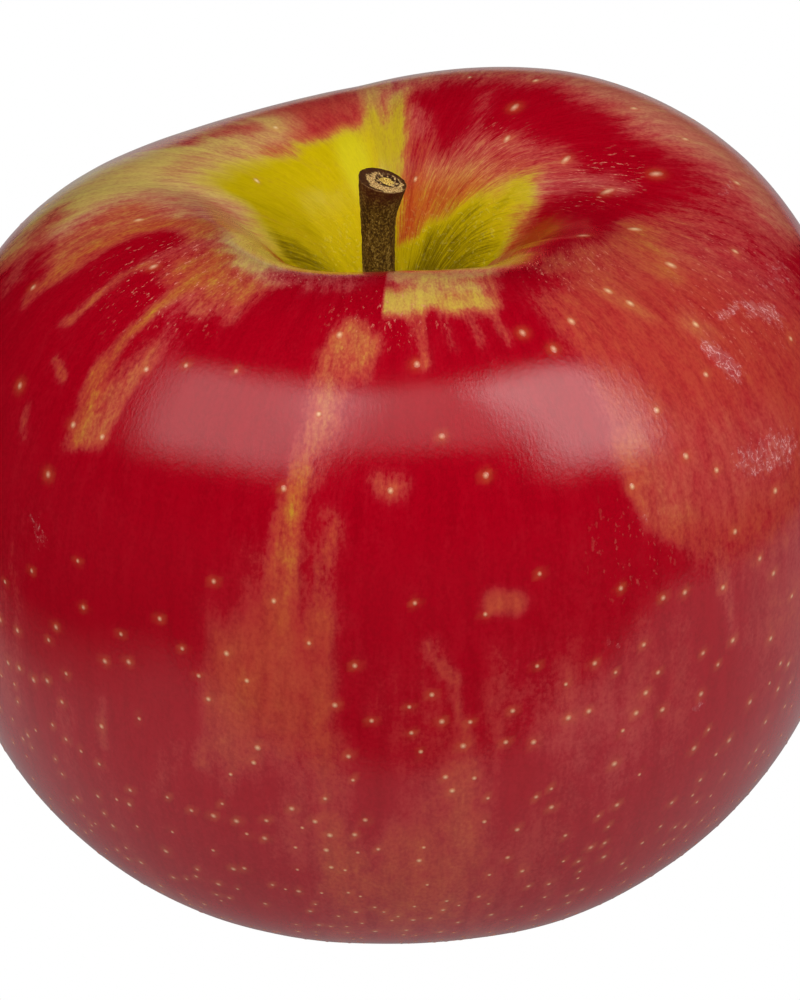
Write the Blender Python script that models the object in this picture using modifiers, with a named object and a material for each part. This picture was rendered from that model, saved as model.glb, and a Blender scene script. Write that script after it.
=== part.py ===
"""A red apple: the fruit, its woody stem, and the dried flower remains in the calyx basin.

Metres, +Z up. The apple stands on five low lobes round the calyx. The origin is on the surface
it stands on, under the middle of its bounding box.
"""

import math

import bmesh
import bpy
import numpy as np
from mathutils import Vector

MM = 0.001

# Fruit: half a superellipse over the belly and half one under it.
BELLY_RADIUS = 42.5 * MM
BELLY_HEIGHT = 39.0 * MM
CROWN_RISE = 35.4 * MM
CROWN_SPREAD = 0.749
CROWN_FLATNESS = 0.716
BASE_DROP = 40.8 * MM
BASE_SPREAD = 0.80
BASE_FLATNESS = 0.85

# Hollow at the stem end, and the socket that the stem grows out of.
CAVITY_DEPTH = 22.0 * MM
CAVITY_WIDTH = 13.0 * MM
CAVITY_POWER = 1.5
SOCKET_RADIUS = 1.75 * MM
SOCKET_DEPTH = 3.5 * MM

# Hollow at the calyx end.
BASIN_DEPTH = 10.5 * MM
BASIN_WIDTH = 8.5 * MM
BASIN_POWER = 2.2

# Uneven shoulders: (lobes round the fruit, height, direction of the highest one in degrees).
SHOULDER_SWELLS = ((1, 2.06 * MM, -74.0), (2, 1.28 * MM, 56.0), (3, 0.89 * MM, 173.7))
SWELL_REACH = 14.0 * MM
# The crown leans over the base, and the fruit is a little oval.
LEAN = 0.031
LEAN_DIRECTION = -24.0
OVAL = 0.01
# Creases in the wall of the stem hollow: (direction and half width in degrees, distance from the axis
# where it is deepest, depth). A negative depth is a swelling.
CAVITY_CREASES = (
    (97.0, 7.0, 13.0 * MM, 0.9 * MM),
    (168.0, 16.0, 9.0 * MM, 1.7 * MM),
    (22.0, 16.0, 9.0 * MM, 1.2 * MM),
    (334.0, 26.0, 9.0 * MM, -3.4 * MM),
)
# Lobes round the calyx, each with a flat foot worn on by the fruit's weight.
BASE_LOBES = 5
BASE_LOBE_HEIGHT = 0.55 * MM
BASE_LOBE_TURN = 90.0
BASE_LOBE_REACH = 14.0 * MM
FOOT_FLAT = 0.5 * MM

SEGMENTS = 64
RINGS = 52

# Stem: a shaft that bends a little, and the swollen end that held it to the twig, cut at a slant.
# Each row is (height above the socket floor, sideways place, radius).
STEM_PATH = (
    (0.3 * MM, 0.0, 1.40 * MM),
    (3.0 * MM, -0.1 * MM, 1.40 * MM),
    (7.0 * MM, -1.2 * MM, 1.42 * MM),
    (12.0 * MM, -1.9 * MM, 1.44 * MM),
    (17.0 * MM, -1.7 * MM, 1.55 * MM),
    (20.0 * MM, -1.4 * MM, 1.85 * MM),
    (24.5 * MM, -1.0 * MM, 2.25 * MM),
)
STEM_LENGTH = 21.9 * MM
STEM_CUT_SLANT = 14.0
WELD = 0.01 * MM

# Dried flower remains in the calyx basin.
SEPALS = 5
SEPAL_START_RADIUS = 2.4 * MM
SEPAL_START_HEIGHT = 8.0 * MM
SEPAL_DROP = 3.2 * MM
SEPAL_SPREAD = 2.4 * MM
SEPAL_HALF_WIDTH = 1.15 * MM
SEPAL_TIP_NARROWING = 0.8
SEPAL_THICKNESS = 0.35 * MM
TUFT_TOP = 8.0 * MM
TUFT_LENGTH = 2.8 * MM
TUFT_RADIUS = 1.45 * MM
TUFT_RIDGES = 8
TUFT_RIDGE_SHARE = 0.16
TUFT_RINGS = 7


def smooth_step(value, low, high):
    t = np.clip((value - low) / (high - low), 0.0, 1.0)
    return t * t * (3.0 - 2.0 * t)


def hump(distance, peak):
    """0 on the axis, 1 at the peak distance from it, and fading further out."""
    reach = distance / peak
    return reach * np.exp(1.0 - reach)


def meridian(polar):
    """Radius and height of the round fruit at a polar angle, 0 at the stem and pi at the calyx."""
    upper = np.cos(polar) > 0.0
    spread = np.where(upper, CROWN_SPREAD, BASE_SPREAD)
    flatness = np.where(upper, CROWN_FLATNESS, BASE_FLATNESS)
    radius = BELLY_RADIUS * np.abs(np.sin(polar)) ** spread
    rise = np.where(upper, CROWN_RISE, -BASE_DROP) * np.abs(np.cos(polar)) ** flatness
    cavity = CAVITY_DEPTH * np.exp(-((radius / CAVITY_WIDTH) ** CAVITY_POWER))
    basin = BASIN_DEPTH * np.exp(-((radius / BASIN_WIDTH) ** BASIN_POWER))
    return radius, BELLY_HEIGHT + rise + np.where(upper, -cavity, basin)


def uneven_height(theta, radius, polar):
    """How far the shoulders, the creases and the lobes of the base move a point up."""
    upward = np.cos(polar)
    crown = smooth_step(upward, -0.1, 0.75) * smooth_step(radius, 0.0, SWELL_REACH)
    base = smooth_step(-upward, 0.2, 0.9)
    rise = np.zeros_like(theta * radius)
    for lobes, height, direction in SHOULDER_SWELLS:
        rise += crown * height * np.cos(lobes * (theta - math.radians(direction)))
    for direction, half_width, deepest, depth in CAVITY_CREASES:
        crease = np.where(upward > 0.0, hump(radius, deepest) ** 3, 0.0)
        apart = np.abs(np.angle(np.exp(1j * (theta - math.radians(direction)))))
        rise -= crease * depth * np.exp(-((apart / math.radians(half_width)) ** 1.5))
    between_lobes = 1.0 - np.cos(BASE_LOBES * (theta - math.radians(BASE_LOBE_TURN)))
    rise += base * hump(radius, BASE_LOBE_REACH) ** 2 * BASE_LOBE_HEIGHT * between_lobes
    return rise


def fruit_points(theta, polar):
    """Points of the fruit's skin at angles round the axis and polar angles."""
    radius, height = meridian(polar)
    height = height + uneven_height(theta, radius, polar)
    lean = LEAN * np.cos(polar) * np.cos(theta - math.radians(LEAN_DIRECTION))
    radius = radius * (1.0 + lean + OVAL * np.cos(2.0 * theta))
    return np.stack([radius * np.cos(theta), radius * np.sin(theta), height + 0.0 * theta], axis=-1)


def ring_angles():
    """Polar angles of the rings, evenly spaced from the rim of the stem socket to the calyx."""
    fine = np.linspace(1e-4, math.pi, 6000)
    radius, height = meridian(fine)
    fine = fine[(radius > SOCKET_RADIUS) | (fine > math.pi / 2)]
    radius, height = meridian(fine)
    along = np.concatenate([[0.0], np.cumsum(np.hypot(np.diff(radius), np.diff(height)))])
    return np.interp(np.linspace(0.0, along[-1], RINGS), along, fine)


def make_material(name, colour, roughness):
    material = bpy.data.materials.new(name)
    material.use_nodes = True
    shader = material.node_tree.nodes["Principled BSDF"]
    shader.inputs["Base Color"].default_value = (*colour, 1.0)
    shader.inputs["Roughness"].default_value = roughness
    shader.inputs["Metallic"].default_value = 0.0
    return material


def add_object(name, mesh, collection, parent, material):
    mesh.shade_smooth()
    mesh.materials.clear()
    mesh.materials.append(material)
    part = bpy.data.objects.new(name, mesh)
    collection.objects.link(part)
    part.parent = parent
    return part


def sphere_mesh(name, segments, rings, place):
    """A closed mesh from a sphere. place(theta, ring) gives the points; ring 0 is the top pole."""
    shape = bmesh.new()
    bmesh.ops.create_uvsphere(shape, u_segments=segments, v_segments=rings, radius=1.0)
    start = np.array([vert.co for vert in shape.verts])
    theta = np.arctan2(start[:, 1], start[:, 0])
    polar = np.arccos(np.clip(start[:, 2], -1.0, 1.0))
    ring = np.rint(polar / math.pi * rings).astype(int)
    for vert, point in zip(shape.verts, place(theta, ring)):
        vert.co = point
    bmesh.ops.recalc_face_normals(shape, faces=shape.faces)
    mesh = bpy.data.meshes.new(name)
    shape.to_mesh(mesh)
    shape.free()
    return mesh


def fruit_place(theta, ring):
    """Ring 0 is the middle of the socket floor, ring 1 its edge, and ring 2 the rim of the socket."""
    polar = ring_angles()[np.maximum(ring - 2, 0)]
    points = fruit_points(theta, polar)
    points[ring < 2, 2] = socket_floor()
    points[ring == 0, :2] = 0.0
    points[ring == ring.max(), :2] = 0.0
    foot_level = points[:, 2].min() + FOOT_FLAT
    points[:, 2] = np.maximum(points[:, 2], foot_level)
    return points


def socket_floor():
    rim = fruit_points(np.array([0.0]), ring_angles()[:1])[0]
    return rim[2] - SOCKET_DEPTH


def make_fruit(collection, parent):
    skin = make_material("red_skin", (0.36, 0.012, 0.016), 0.3)
    mesh = sphere_mesh("fruit", SEGMENTS, RINGS + 1, fruit_place)
    return add_object("fruit", mesh, collection, parent, skin)


def mesh_of_curve(guide):
    """The mesh of a curve object, in world space. The curve is removed."""
    bpy.context.view_layer.update()
    graph = bpy.context.evaluated_depsgraph_get()
    mesh = bpy.data.meshes.new_from_object(guide.evaluated_get(graph))
    mesh.transform(guide.matrix_world)
    bpy.data.objects.remove(guide)
    return mesh


def stem_curve():
    """The stem's centre line, with the stem's radius at each of its points."""
    curve = bpy.data.curves.new("stem", "CURVE")
    curve.dimensions = "3D"
    curve.resolution_u = 3
    curve.bevel_depth = 1.0
    curve.bevel_resolution = 3
    curve.use_fill_caps = True
    spline = curve.splines.new("BEZIER")
    spline.bezier_points.add(len(STEM_PATH) - 1)
    for point, (height, sideways, radius) in zip(spline.bezier_points, STEM_PATH):
        point.co = (sideways, 0.0, socket_floor() + height)
        point.radius = radius
        point.handle_left_type = "AUTO"
        point.handle_right_type = "AUTO"
    return curve


def make_stem(collection, parent):
    """The bevelled curve, cut at a slant and capped."""
    guide = bpy.data.objects.new("stem_guide", stem_curve())
    collection.objects.link(guide)
    mesh = mesh_of_curve(guide)
    shape = bmesh.new()
    shape.from_mesh(mesh)
    bmesh.ops.remove_doubles(shape, verts=shape.verts, dist=WELD)
    slant = math.radians(STEM_CUT_SLANT)
    cut = bmesh.ops.bisect_plane(
        shape,
        geom=shape.verts[:] + shape.edges[:] + shape.faces[:],
        plane_co=(STEM_PATH[-2][1], 0.0, socket_floor() + STEM_LENGTH),
        plane_no=(math.sin(slant), 0.0, math.cos(slant)),
        clear_outer=True,
    )
    edges = [item for item in cut["geom_cut"] if isinstance(item, bmesh.types.BMEdge)]
    bmesh.ops.contextual_create(shape, geom=edges)
    bmesh.ops.recalc_face_normals(shape, faces=shape.faces)
    shape.to_mesh(mesh)
    shape.free()
    bark = make_material("stem_bark", (0.115, 0.062, 0.018), 0.85)
    stem = add_object("stem", mesh, collection, parent, bark)
    mesh.set_sharp_from_angle(angle=math.radians(40.0))
    return stem


def sepal_mesh():
    """A pointed leaf that starts upright beside the calyx and curls outwards to its tip."""
    shape = bmesh.new()
    bmesh.ops.create_grid(shape, x_segments=4, y_segments=7, size=1.0)
    for vert in shape.verts:
        along = (vert.co.y + 1.0) / 2.0
        half_width = SEPAL_HALF_WIDTH * (1.0 - SEPAL_TIP_NARROWING * along**1.5)
        reach = SEPAL_START_RADIUS + SEPAL_SPREAD * along**2
        angle = vert.co.x * half_width / reach
        height = SEPAL_START_HEIGHT - SEPAL_DROP * (along - 0.12 * along**2)
        vert.co = Vector((reach * math.cos(angle), reach * math.sin(angle), height))
    bmesh.ops.recalc_face_normals(shape, faces=shape.faces)
    mesh = bpy.data.meshes.new("sepal")
    shape.to_mesh(mesh)
    shape.free()
    return mesh


def make_sepals(collection, parent):
    """One leaf over each gap between two base lobes."""
    dry = make_material("dry_sepal", (0.10, 0.055, 0.028), 0.9)
    mesh = sepal_mesh()
    for number in range(SEPALS):
        sepal = add_object(f"sepal_{number + 1}", mesh, collection, parent, dry)
        sepal.rotation_euler.z = math.radians(BASE_LOBE_TURN + 360.0 * (number + 0.5) / SEPALS)
        leaf = sepal.modifiers.new("leaf thickness", "SOLIDIFY")
        leaf.thickness = SEPAL_THICKNESS
        leaf.offset = 0.0


def tuft_place(theta, ring):
    """A ridged knot of withered stamens, flat on top and closing to a point underneath."""
    depth = np.clip((ring - 1) / (ring.max() - 1), 0.0, 1.0)
    ridge = 1.0 + TUFT_RIDGE_SHARE * depth * np.cos(TUFT_RIDGES * theta)
    radius = TUFT_RADIUS * ridge * np.sqrt(1.0 - depth**3)
    radius = np.where(ring == 0, 0.0, radius)
    height = TUFT_TOP - TUFT_LENGTH * depth
    return np.stack([radius * np.cos(theta), radius * np.sin(theta), height], axis=-1)


def make_stamen_tuft(collection, parent):
    withered = make_material("withered_stamens", (0.045, 0.028, 0.018), 0.95)
    mesh = sphere_mesh("stamen_tuft", 4 * TUFT_RIDGES, TUFT_RINGS, tuft_place)
    return add_object("stamen_tuft", mesh, collection, parent, withered)


def main():
    for old in list(bpy.data.objects):
        bpy.data.objects.remove(old)
    collection = bpy.data.collections.new("apple")
    bpy.context.scene.collection.children.link(collection)
    apple = bpy.data.objects.new("apple", None)
    collection.objects.link(apple)
    fruit = make_fruit(collection, apple)
    make_stem(collection, apple)
    make_sepals(collection, apple)
    make_stamen_tuft(collection, apple)
    apple.location.z = -min(vert.co.z for vert in fruit.data.vertices)


main()
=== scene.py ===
import math

import bpy
import numpy as np
from mathutils import Matrix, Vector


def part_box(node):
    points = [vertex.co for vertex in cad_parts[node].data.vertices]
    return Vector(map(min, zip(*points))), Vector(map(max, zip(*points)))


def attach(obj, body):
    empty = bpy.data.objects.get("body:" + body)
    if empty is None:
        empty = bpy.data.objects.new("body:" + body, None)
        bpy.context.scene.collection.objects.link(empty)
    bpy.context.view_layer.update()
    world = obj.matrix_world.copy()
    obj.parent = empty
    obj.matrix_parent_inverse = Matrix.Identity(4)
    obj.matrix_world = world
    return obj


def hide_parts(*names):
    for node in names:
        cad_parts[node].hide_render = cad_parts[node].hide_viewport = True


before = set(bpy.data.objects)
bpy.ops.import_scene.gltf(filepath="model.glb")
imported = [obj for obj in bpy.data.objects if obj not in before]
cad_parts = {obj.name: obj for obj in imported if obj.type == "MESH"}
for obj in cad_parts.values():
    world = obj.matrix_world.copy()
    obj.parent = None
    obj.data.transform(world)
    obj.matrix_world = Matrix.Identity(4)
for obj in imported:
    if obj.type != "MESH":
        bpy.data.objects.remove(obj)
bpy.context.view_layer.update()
print("frame loaded:", ", ".join(sorted(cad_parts)))

mm = 0.001  # every shape below is worked out in millimetres
wholeTurn = 2.0 * math.pi
scene = bpy.context.scene

# numbers that stir a whole-number place into a value that looks random
stirring = dict(place=(374761393, 668265263, 1274126177), seed=974634777,
                rounds=((13, 1103515245), (16, 1597334677)), lastShift=15, limit=0xFFFFFFFF)
noiseShift = 40.0  # moves the round noise away from the axis of its own grid


def smoothStep(value, low, high):
    t = np.clip((value - low) / (high - low), 0.0, 1.0)
    return t * t * (3.0 - 2.0 * t)


def fadeOut(value, low, high):
    return 1.0 - smoothStep(value, low, high)


def hump(distance, peak):
    # 0 on the axis, 1 at the peak distance, fading further out: x times e to the power (1 - x)
    reach = distance / peak
    return reach * np.exp(1.0 - reach)


def latticeValue(places, seed):
    # a repeatable value from 0 to 1 for each whole-number place
    value = seed * stirring["seed"]
    for place, factor in zip(places, stirring["place"]):
        value = value + place * factor
    value = value & stirring["limit"]
    for shift, factor in stirring["rounds"]:
        value = ((value ^ (value >> shift)) * factor) & stirring["limit"]
    return (value ^ (value >> stirring["lastShift"])) / stirring["limit"]


def softNoise(x, y, z, seed):
    # values at whole-number places, joined smoothly between them: -1 to 1, one bump per unit
    cells = [np.floor(axis).astype(np.int64) for axis in (x, y, z)]
    parts = [axis - cell for axis, cell in zip((x, y, z), cells)]
    fades = [part * part * (3.0 - 2.0 * part) for part in parts]
    total = 0.0
    for corner in range(8):
        steps = [(corner >> axis) & 1 for axis in range(3)]
        weight = 1.0
        for step, fade in zip(steps, fades):
            weight = weight * (fade if step else 1.0 - fade)
        total = total + weight * latticeValue([cell + step for cell, step in zip(cells, steps)], seed)
    return 2.0 * total - 1.0


def roundNoise(theta, along, *layers):
    # noise on a cylinder, so that it closes on itself round the axis: the sum of its layers, each
    # given by its height, bumps per radian, bumps per mm along and seed
    total = 0.0
    for height, perRadian, perMm, seed in layers:
        x = perRadian * np.cos(theta) + noiseShift
        y = perRadian * np.sin(theta) + noiseShift
        total = total + height * softNoise(x, y, perMm * along + noiseShift, seed)
    return total


def angleBetween(theta, direction):
    # from a direction given in degrees to an angle in radians, the short way round
    return (theta - math.radians(direction) + math.pi) % wholeTurn - math.pi


def unit(vectors):
    return vectors / np.linalg.norm(vectors, axis=-1, keepdims=True)


def roundGrid(count):
    return np.linspace(0.0, wholeTurn, count, endpoint=False)


def tubeFaces(rows, columns):
    # quads between neighbouring rings of one grid, closed round, then a fan at each end
    # to the two pole points that follow the grid
    row = np.arange(rows - 1)[:, None] * columns
    column = np.arange(columns)[None, :]
    nextColumn = (column + 1) % columns
    quads = np.stack([row + column, row + nextColumn, row + columns + nextColumn, row + columns + column],
                     axis=-1).reshape(-1, 4)
    first = rows * columns
    last = (rows - 1) * columns
    ring = np.arange(columns)
    ringNext = (ring + 1) % columns
    startFan = np.stack([ringNext, ring, np.full(columns, first)], axis=-1)
    endFan = np.stack([last + ring, last + ringNext, np.full(columns, first + 1)], axis=-1)
    return quads, np.concatenate([startFan, endFan])


def closedMesh(name, points, quads, triangles):
    # the faces are turned round if the signed volume shows that they point inwards
    corners = np.concatenate([triangles, quads[:, [0, 1, 2]], quads[:, [0, 2, 3]]])
    a, b, c = (points[corners[:, k]] for k in range(3))
    if np.einsum("ij,ij->i", a, np.cross(b, c)).sum() < 0.0:
        quads = quads[:, ::-1]
        triangles = triangles[:, ::-1]
    mesh = bpy.data.meshes.new(name)
    mesh.from_pydata((points * mm).tolist(), [], quads.tolist() + triangles.tolist())
    mesh.shade_smooth()
    return mesh


def closedTube(name, rings, startPole, endPole, copies=1):
    # rings has the shape (copies, rows, columns, 3); each copy is closed by its own two poles
    rings = rings.reshape(copies, -1, rings.shape[-2], 3)
    rows, columns = rings.shape[1:3]
    poles = np.stack([np.broadcast_to(pole, (copies, 3)) for pole in (startPole, endPole)], axis=1)
    points = np.concatenate([rings.reshape(copies, -1, 3), poles], axis=1)
    quads, triangles = tubeFaces(rows, columns)
    offset = (np.arange(copies) * points.shape[1])[:, None, None]
    quads = (quads[None] + offset).reshape(-1, 4)
    triangles = (triangles[None] + offset).reshape(-1, 3)
    return closedMesh(name, points.reshape(-1, 3), quads, triangles)


def setAttributes(mesh, **fields):
    # numbers, or vectors where a field's last size is 3, one for each point of the mesh
    for name, values in fields.items():
        values = np.asarray(values, dtype=np.float32)
        isVector = values.ndim > 1 and values.shape[-1] == 3
        kind, field = ("FLOAT_VECTOR", "vector") if isVector else ("FLOAT", "value")
        mesh.attributes.new(name, kind, "POINT").data.foreach_set(field, values.ravel())


def addPiece(name, mesh, material, slotName, *replaced):
    mesh.materials.append(material)
    piece = bpy.data.objects.new(name, mesh)
    scene.collection.objects.link(piece)
    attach(piece, "root")
    if replaced:
        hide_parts(*replaced)
    print(name, "made:", len(mesh.polygons), "faces")


def linear(colour):
    # 0 to 255 as seen, turned into the light values that a shader takes by the usual screen curve
    share = np.array(colour) / 255.0
    value = np.where(share <= 0.04045, share / 12.92, ((share + 0.055) / 1.055) ** 2.4)
    return (*value.tolist(), 1.0)


def newMaterial(name):
    material = bpy.data.materials.new(name)
    material.use_nodes = True
    return material, material.node_tree, material.node_tree.nodes["Principled BSDF"]


def addNode(tree, kind, sockets=None, **settings):
    # sockets: {name or number of an input: a value, or the output to link to it}
    node = tree.nodes.new(kind)
    for key, value in settings.items():
        setattr(node, key, value)
    for socket, value in (sockets or {}).items():
        if isinstance(value, bpy.types.NodeSocket):
            tree.links.new(value, node.inputs[socket])
        else:
            node.inputs[socket].default_value = value
    return node


def calculate(tree, operation, *values, clamp=False):
    node = addNode(tree, "ShaderNodeMath", dict(enumerate(values)), operation=operation, use_clamp=clamp)
    return node.outputs[0]


def times(tree, *values):
    return calculate(tree, "MULTIPLY", *values)


def timesPlus(tree, value, factor, added, clamp=False):
    return calculate(tree, "MULTIPLY_ADD", value, factor, added, clamp=clamp)


def readAttribute(tree, name, output="Fac"):
    return addNode(tree, "ShaderNodeAttribute", attribute_name=name).outputs[output]


def objectPlace(tree):
    return addNode(tree, "ShaderNodeTexCoord").outputs["Object"]


def noiseOn(tree, vector, stretch, detail=2.0, roughness=0.5, offset=(0.0, 0.0, 0.0)):
    # stretch: how many bumps per unit of the vector, along each of its three numbers
    placed = addNode(tree, "ShaderNodeMapping", {"Vector": vector, "Location": offset, "Scale": stretch})
    noise = addNode(tree, "ShaderNodeTexNoise",
                    {"Vector": placed.outputs[0], "Scale": 1.0, "Detail": detail, "Roughness": roughness})
    return noise.outputs[0]


def colourRamp(tree, factor, stops):
    node = addNode(tree, "ShaderNodeValToRGB", {"Fac": factor})
    elements = node.color_ramp.elements
    while len(elements) < len(stops):
        elements.new(0.5)
    for element, (place, colour) in zip(elements, stops):
        element.position = place
        element.color = linear(colour)
    return node.outputs["Color"]


def mixColour(tree, factor, first, second, blend="MIX"):
    # a colour given as three numbers is one of the 0 to 255 kind
    first, second = (linear(colour) if isinstance(colour, tuple) else colour for colour in (first, second))
    sockets = {0: factor, 6: first, 7: second}
    return addNode(tree, "ShaderNodeMix", sockets, data_type="RGBA", blend_type=blend).outputs[2]


def rescale(tree, value, low, high, newLow=0.0, newHigh=1.0):
    limits = {"From Min": low, "From Max": high, "To Min": newLow, "To Max": newHigh}
    node = addNode(tree, "ShaderNodeMapRange", {"Value": value, **limits}, interpolation_type="SMOOTHSTEP")
    return node.outputs[0]


def addBump(tree, shader, height, strength, distance):
    sockets = {"Height": height, "Strength": strength, "Distance": distance * mm}
    tree.links.new(addNode(tree, "ShaderNodeBump", sockets).outputs[0], shader.inputs["Normal"])


# The fruit's shape, in mm and degrees: the same formula as the frame's fruit.
fruitShape = dict(
    bellyRadius=42.5, bellyHeight=39.0,
    crownRise=35.4, crownSpread=0.749, crownFlatness=0.716,
    baseDrop=40.8, baseSpread=0.80, baseFlatness=0.85,
    cavityDepth=22.0, cavityWidth=13.0, cavityPower=1.5,
    basinDepth=10.5, basinWidth=8.5, basinPower=2.2,
    # swells of the shoulders: lobes round the axis, height, direction of the highest place
    shoulderSwells=((1, 2.06, -74.0), (2, 1.28, 56.0), (3, 0.89, 173.7)),
    swellReach=14.0, swellFade=(-0.1, 0.75),
    lean=0.031, leanDirection=-24.0, oval=0.01,
    # creases of the stem hollow: direction, half width, where they are deepest, depth
    cavityCreases=((97.0, 7.0, 13.0, 0.9), (168.0, 16.0, 9.0, 1.7), (22.0, 16.0, 9.0, 1.2),
                   (334.0, 26.0, 9.0, -3.4)),
    baseLobes=5, lobeHeight=0.55, lobeTurn=90.0, lobeReach=14.0, lobeFade=(0.2, 0.9),
    footFlat=0.5, softFoot=0.12,  # the flat feet, and how gently the skin goes over into them
    socketRadius=1.62, socketMargin=0.3,
)


def meridian(polar):
    # radius and height of the round fruit: two half superellipses joined at the belly, with a
    # bell-shaped hollow pushed in at each end
    shape = fruitShape
    upper = np.cos(polar) > 0.0
    spread = np.where(upper, shape["crownSpread"], shape["baseSpread"])
    flatness = np.where(upper, shape["crownFlatness"], shape["baseFlatness"])
    radius = shape["bellyRadius"] * np.abs(np.sin(polar)) ** spread
    rise = np.where(upper, shape["crownRise"], -shape["baseDrop"]) * np.abs(np.cos(polar)) ** flatness
    cavity = shape["cavityDepth"] * np.exp(-((radius / shape["cavityWidth"]) ** shape["cavityPower"]))
    basin = shape["basinDepth"] * np.exp(-((radius / shape["basinWidth"]) ** shape["basinPower"]))
    return radius, shape["bellyHeight"] + rise + np.where(upper, -cavity, basin)


finePolar = np.linspace(1e-4, math.pi - 1e-6, 6000)
fineRadius, fineHeight = meridian(finePolar)
fineArc = np.concatenate([[0.0], np.cumsum(np.hypot(np.diff(fineRadius), np.diff(fineHeight)))])
wholeArc = fineArc[-1]  # from the axis in the stem hollow, over the belly, to the calyx
socketArc = np.interp(fruitShape["socketRadius"], fineRadius[:3000], fineArc[:3000])


def radiusAt(arc):
    return np.interp(arc, fineArc, fineRadius)


def evenPoint(theta, arc):
    # a point of the smooth skin at an angle round the axis and a distance along the meridian
    shape = fruitShape
    polar = np.interp(arc, fineArc, finePolar)
    radius, height = meridian(polar)
    upward = np.cos(polar)
    crown = smoothStep(upward, *shape["swellFade"]) * smoothStep(radius, 0.0, shape["swellReach"])
    base = smoothStep(-upward, *shape["lobeFade"])
    for lobes, swell, direction in shape["shoulderSwells"]:
        height = height + crown * swell * np.cos(lobes * (theta - math.radians(direction)))
    for direction, halfWidth, deepest, depth in shape["cavityCreases"]:
        crease = np.where(upward > 0.0, hump(radius, deepest) ** 3, 0.0)
        apart = np.abs(angleBetween(theta, direction))
        height = height - crease * depth * np.exp(-((apart / math.radians(halfWidth)) ** 1.5))
    betweenLobes = 1.0 - np.cos(shape["baseLobes"] * (theta - math.radians(shape["lobeTurn"])))
    height = height + base * hump(radius, shape["lobeReach"]) ** 2 * shape["lobeHeight"] * betweenLobes
    lean = shape["lean"] * upward * np.cos(theta - math.radians(shape["leanDirection"]))
    radius = radius * (1.0 + lean + shape["oval"] * np.cos(2.0 * theta))
    return np.stack([radius * np.cos(theta), radius * np.sin(theta), height + 0.0 * theta], axis=-1)


belly = fruitShape["bellyRadius"]
skinUnevenness = dict(
    # layers of noise: height in mm, bumps per radian, bumps per mm along, seed
    dents=((0.07, belly / 11.0, 1.0 / 11.0, 1), (0.014, belly / 3.0, 1.0 / 3.0, 2)),
    ribs=((0.10, 9.0, 0.05, 3), (0.05, 20.0, 0.08, 4)),  # radial folds, only in the stem hollow
    ribsFade=(12.0, 24.0),
    pimples=0.045, pimpleSize=0.8,
    # broad low swellings: degrees round, mm along, their half sizes in mm, height in mm
    swellings=((28.0, 42.0, 16.0, 9.0, 0.30), (266.0, 22.0, 9.0, 4.5, 0.30)),
    evenStart=(2.0, 6.0), evenEnd=(6.0, 2.0),  # no unevenness this near to either end
)


def skinRelief(theta, arc):
    # how far the skin stands proud of the smooth shape, in mm
    size = skinUnevenness
    inHollow = fadeOut(arc, *size["ribsFade"])
    pimpleLayer = (size["pimples"], radiusAt(arc) / size["pimpleSize"], 1.0 / size["pimpleSize"], 5)
    relief = roundNoise(theta, arc, *size["dents"])
    relief = relief + inHollow * roundNoise(theta, arc, *size["ribs"], pimpleLayer)
    for direction, place, halfAround, halfAlong, height in size["swellings"]:
        around = angleBetween(theta, direction) * radiusAt(arc) / halfAround
        relief = relief + height * np.exp(-(around**2) - ((arc - place) / halfAlong) ** 2)
    nearCalyx = (wholeArc - margin for margin in size["evenEnd"])
    return relief * smoothStep(arc, *size["evenStart"]) * fadeOut(arc, *nearCalyx)


def skinNormal(theta, arc):
    # across two short steps of the smooth skin, one round it and one along it
    turnStep, arcStep = 0.002, 0.05
    around = evenPoint(theta + turnStep, arc) - evenPoint(theta - turnStep, arc)
    after, before = np.minimum(arc + arcStep, wholeArc), np.maximum(arc - arcStep, 0.0)
    return unit(np.cross(evenPoint(theta, after) - evenPoint(theta, before), around))


def fitToFrame():
    # scale and shift for each axis that carry the formula's box onto the frame's fruit
    theta, arc = np.meshgrid(np.linspace(0.0, wholeTurn, 181), np.linspace(1.0, wholeArc, 400))
    points = evenPoint(theta, arc)
    low, high = (np.array(corner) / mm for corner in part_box("fruit"))
    formulaLow, formulaHigh = points.min(axis=(0, 1)), points.max(axis=(0, 1))
    formulaLow[2] += fruitShape["footFlat"]
    scale = (high - low) / (formulaHigh - formulaLow)
    return scale, low - formulaLow * scale


frameScale, frameShift = fitToFrame()
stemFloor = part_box("stem")[0][2] / mm - fruitShape["socketMargin"]  # height of the socket's floor


def skinPoint(theta, arc, proud=0.0):
    # a point of the finished skin, or one that stands proud of it; feet below the table are pressed flat
    normal = skinNormal(theta, arc)
    points = evenPoint(theta, arc) + normal * (skinRelief(theta, arc) + proud)[..., None]
    points = points * frameScale + frameShift
    height = points[..., 2]
    points[..., 2] = 0.5 * (height + np.sqrt(height * height + fruitShape["softFoot"] ** 2))
    return points


# The skin's colours are fields over the skin. Places on it are (degrees round the axis, mm along the
# meridian from the stem's axis). Degrees run anticlockwise seen from above, 0 to the right, 270 towards
# the front. Ripeness goes from 0, yellow-green, over orange at 0.4 to 1, deep crimson.

# how far up its wall the yellow of the stem hollow reaches
hollowEdge = [
    (0, 11), (8, 12), (14, 14.5), (20, 18.5), (27, 22), (33, 21.5), (40, 20.5), (48, 18.5), (58, 16),
    (66, 15), (80, 14.5), (86, 18), (90, 27), (95, 30), (101, 27.2), (110, 27.4), (120, 27.4),
    (126, 26.5), (140, 28), (157, 29), (163, 28.5), (166, 22), (170, 17.5), (180, 15), (215, 16),
    (240, 15), (258, 16.5), (270, 21), (288, 21.5), (292, 20), (304, 16), (318, 13), (340, 11),
    (360, 11),
]
# half the width of that border, in mm, and how much wider it is round one direction (fade in radians)
hollowSoft = dict(edge=1.4, more=1.4, direction=50.0, fade=(0.8, 0.5))

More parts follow.
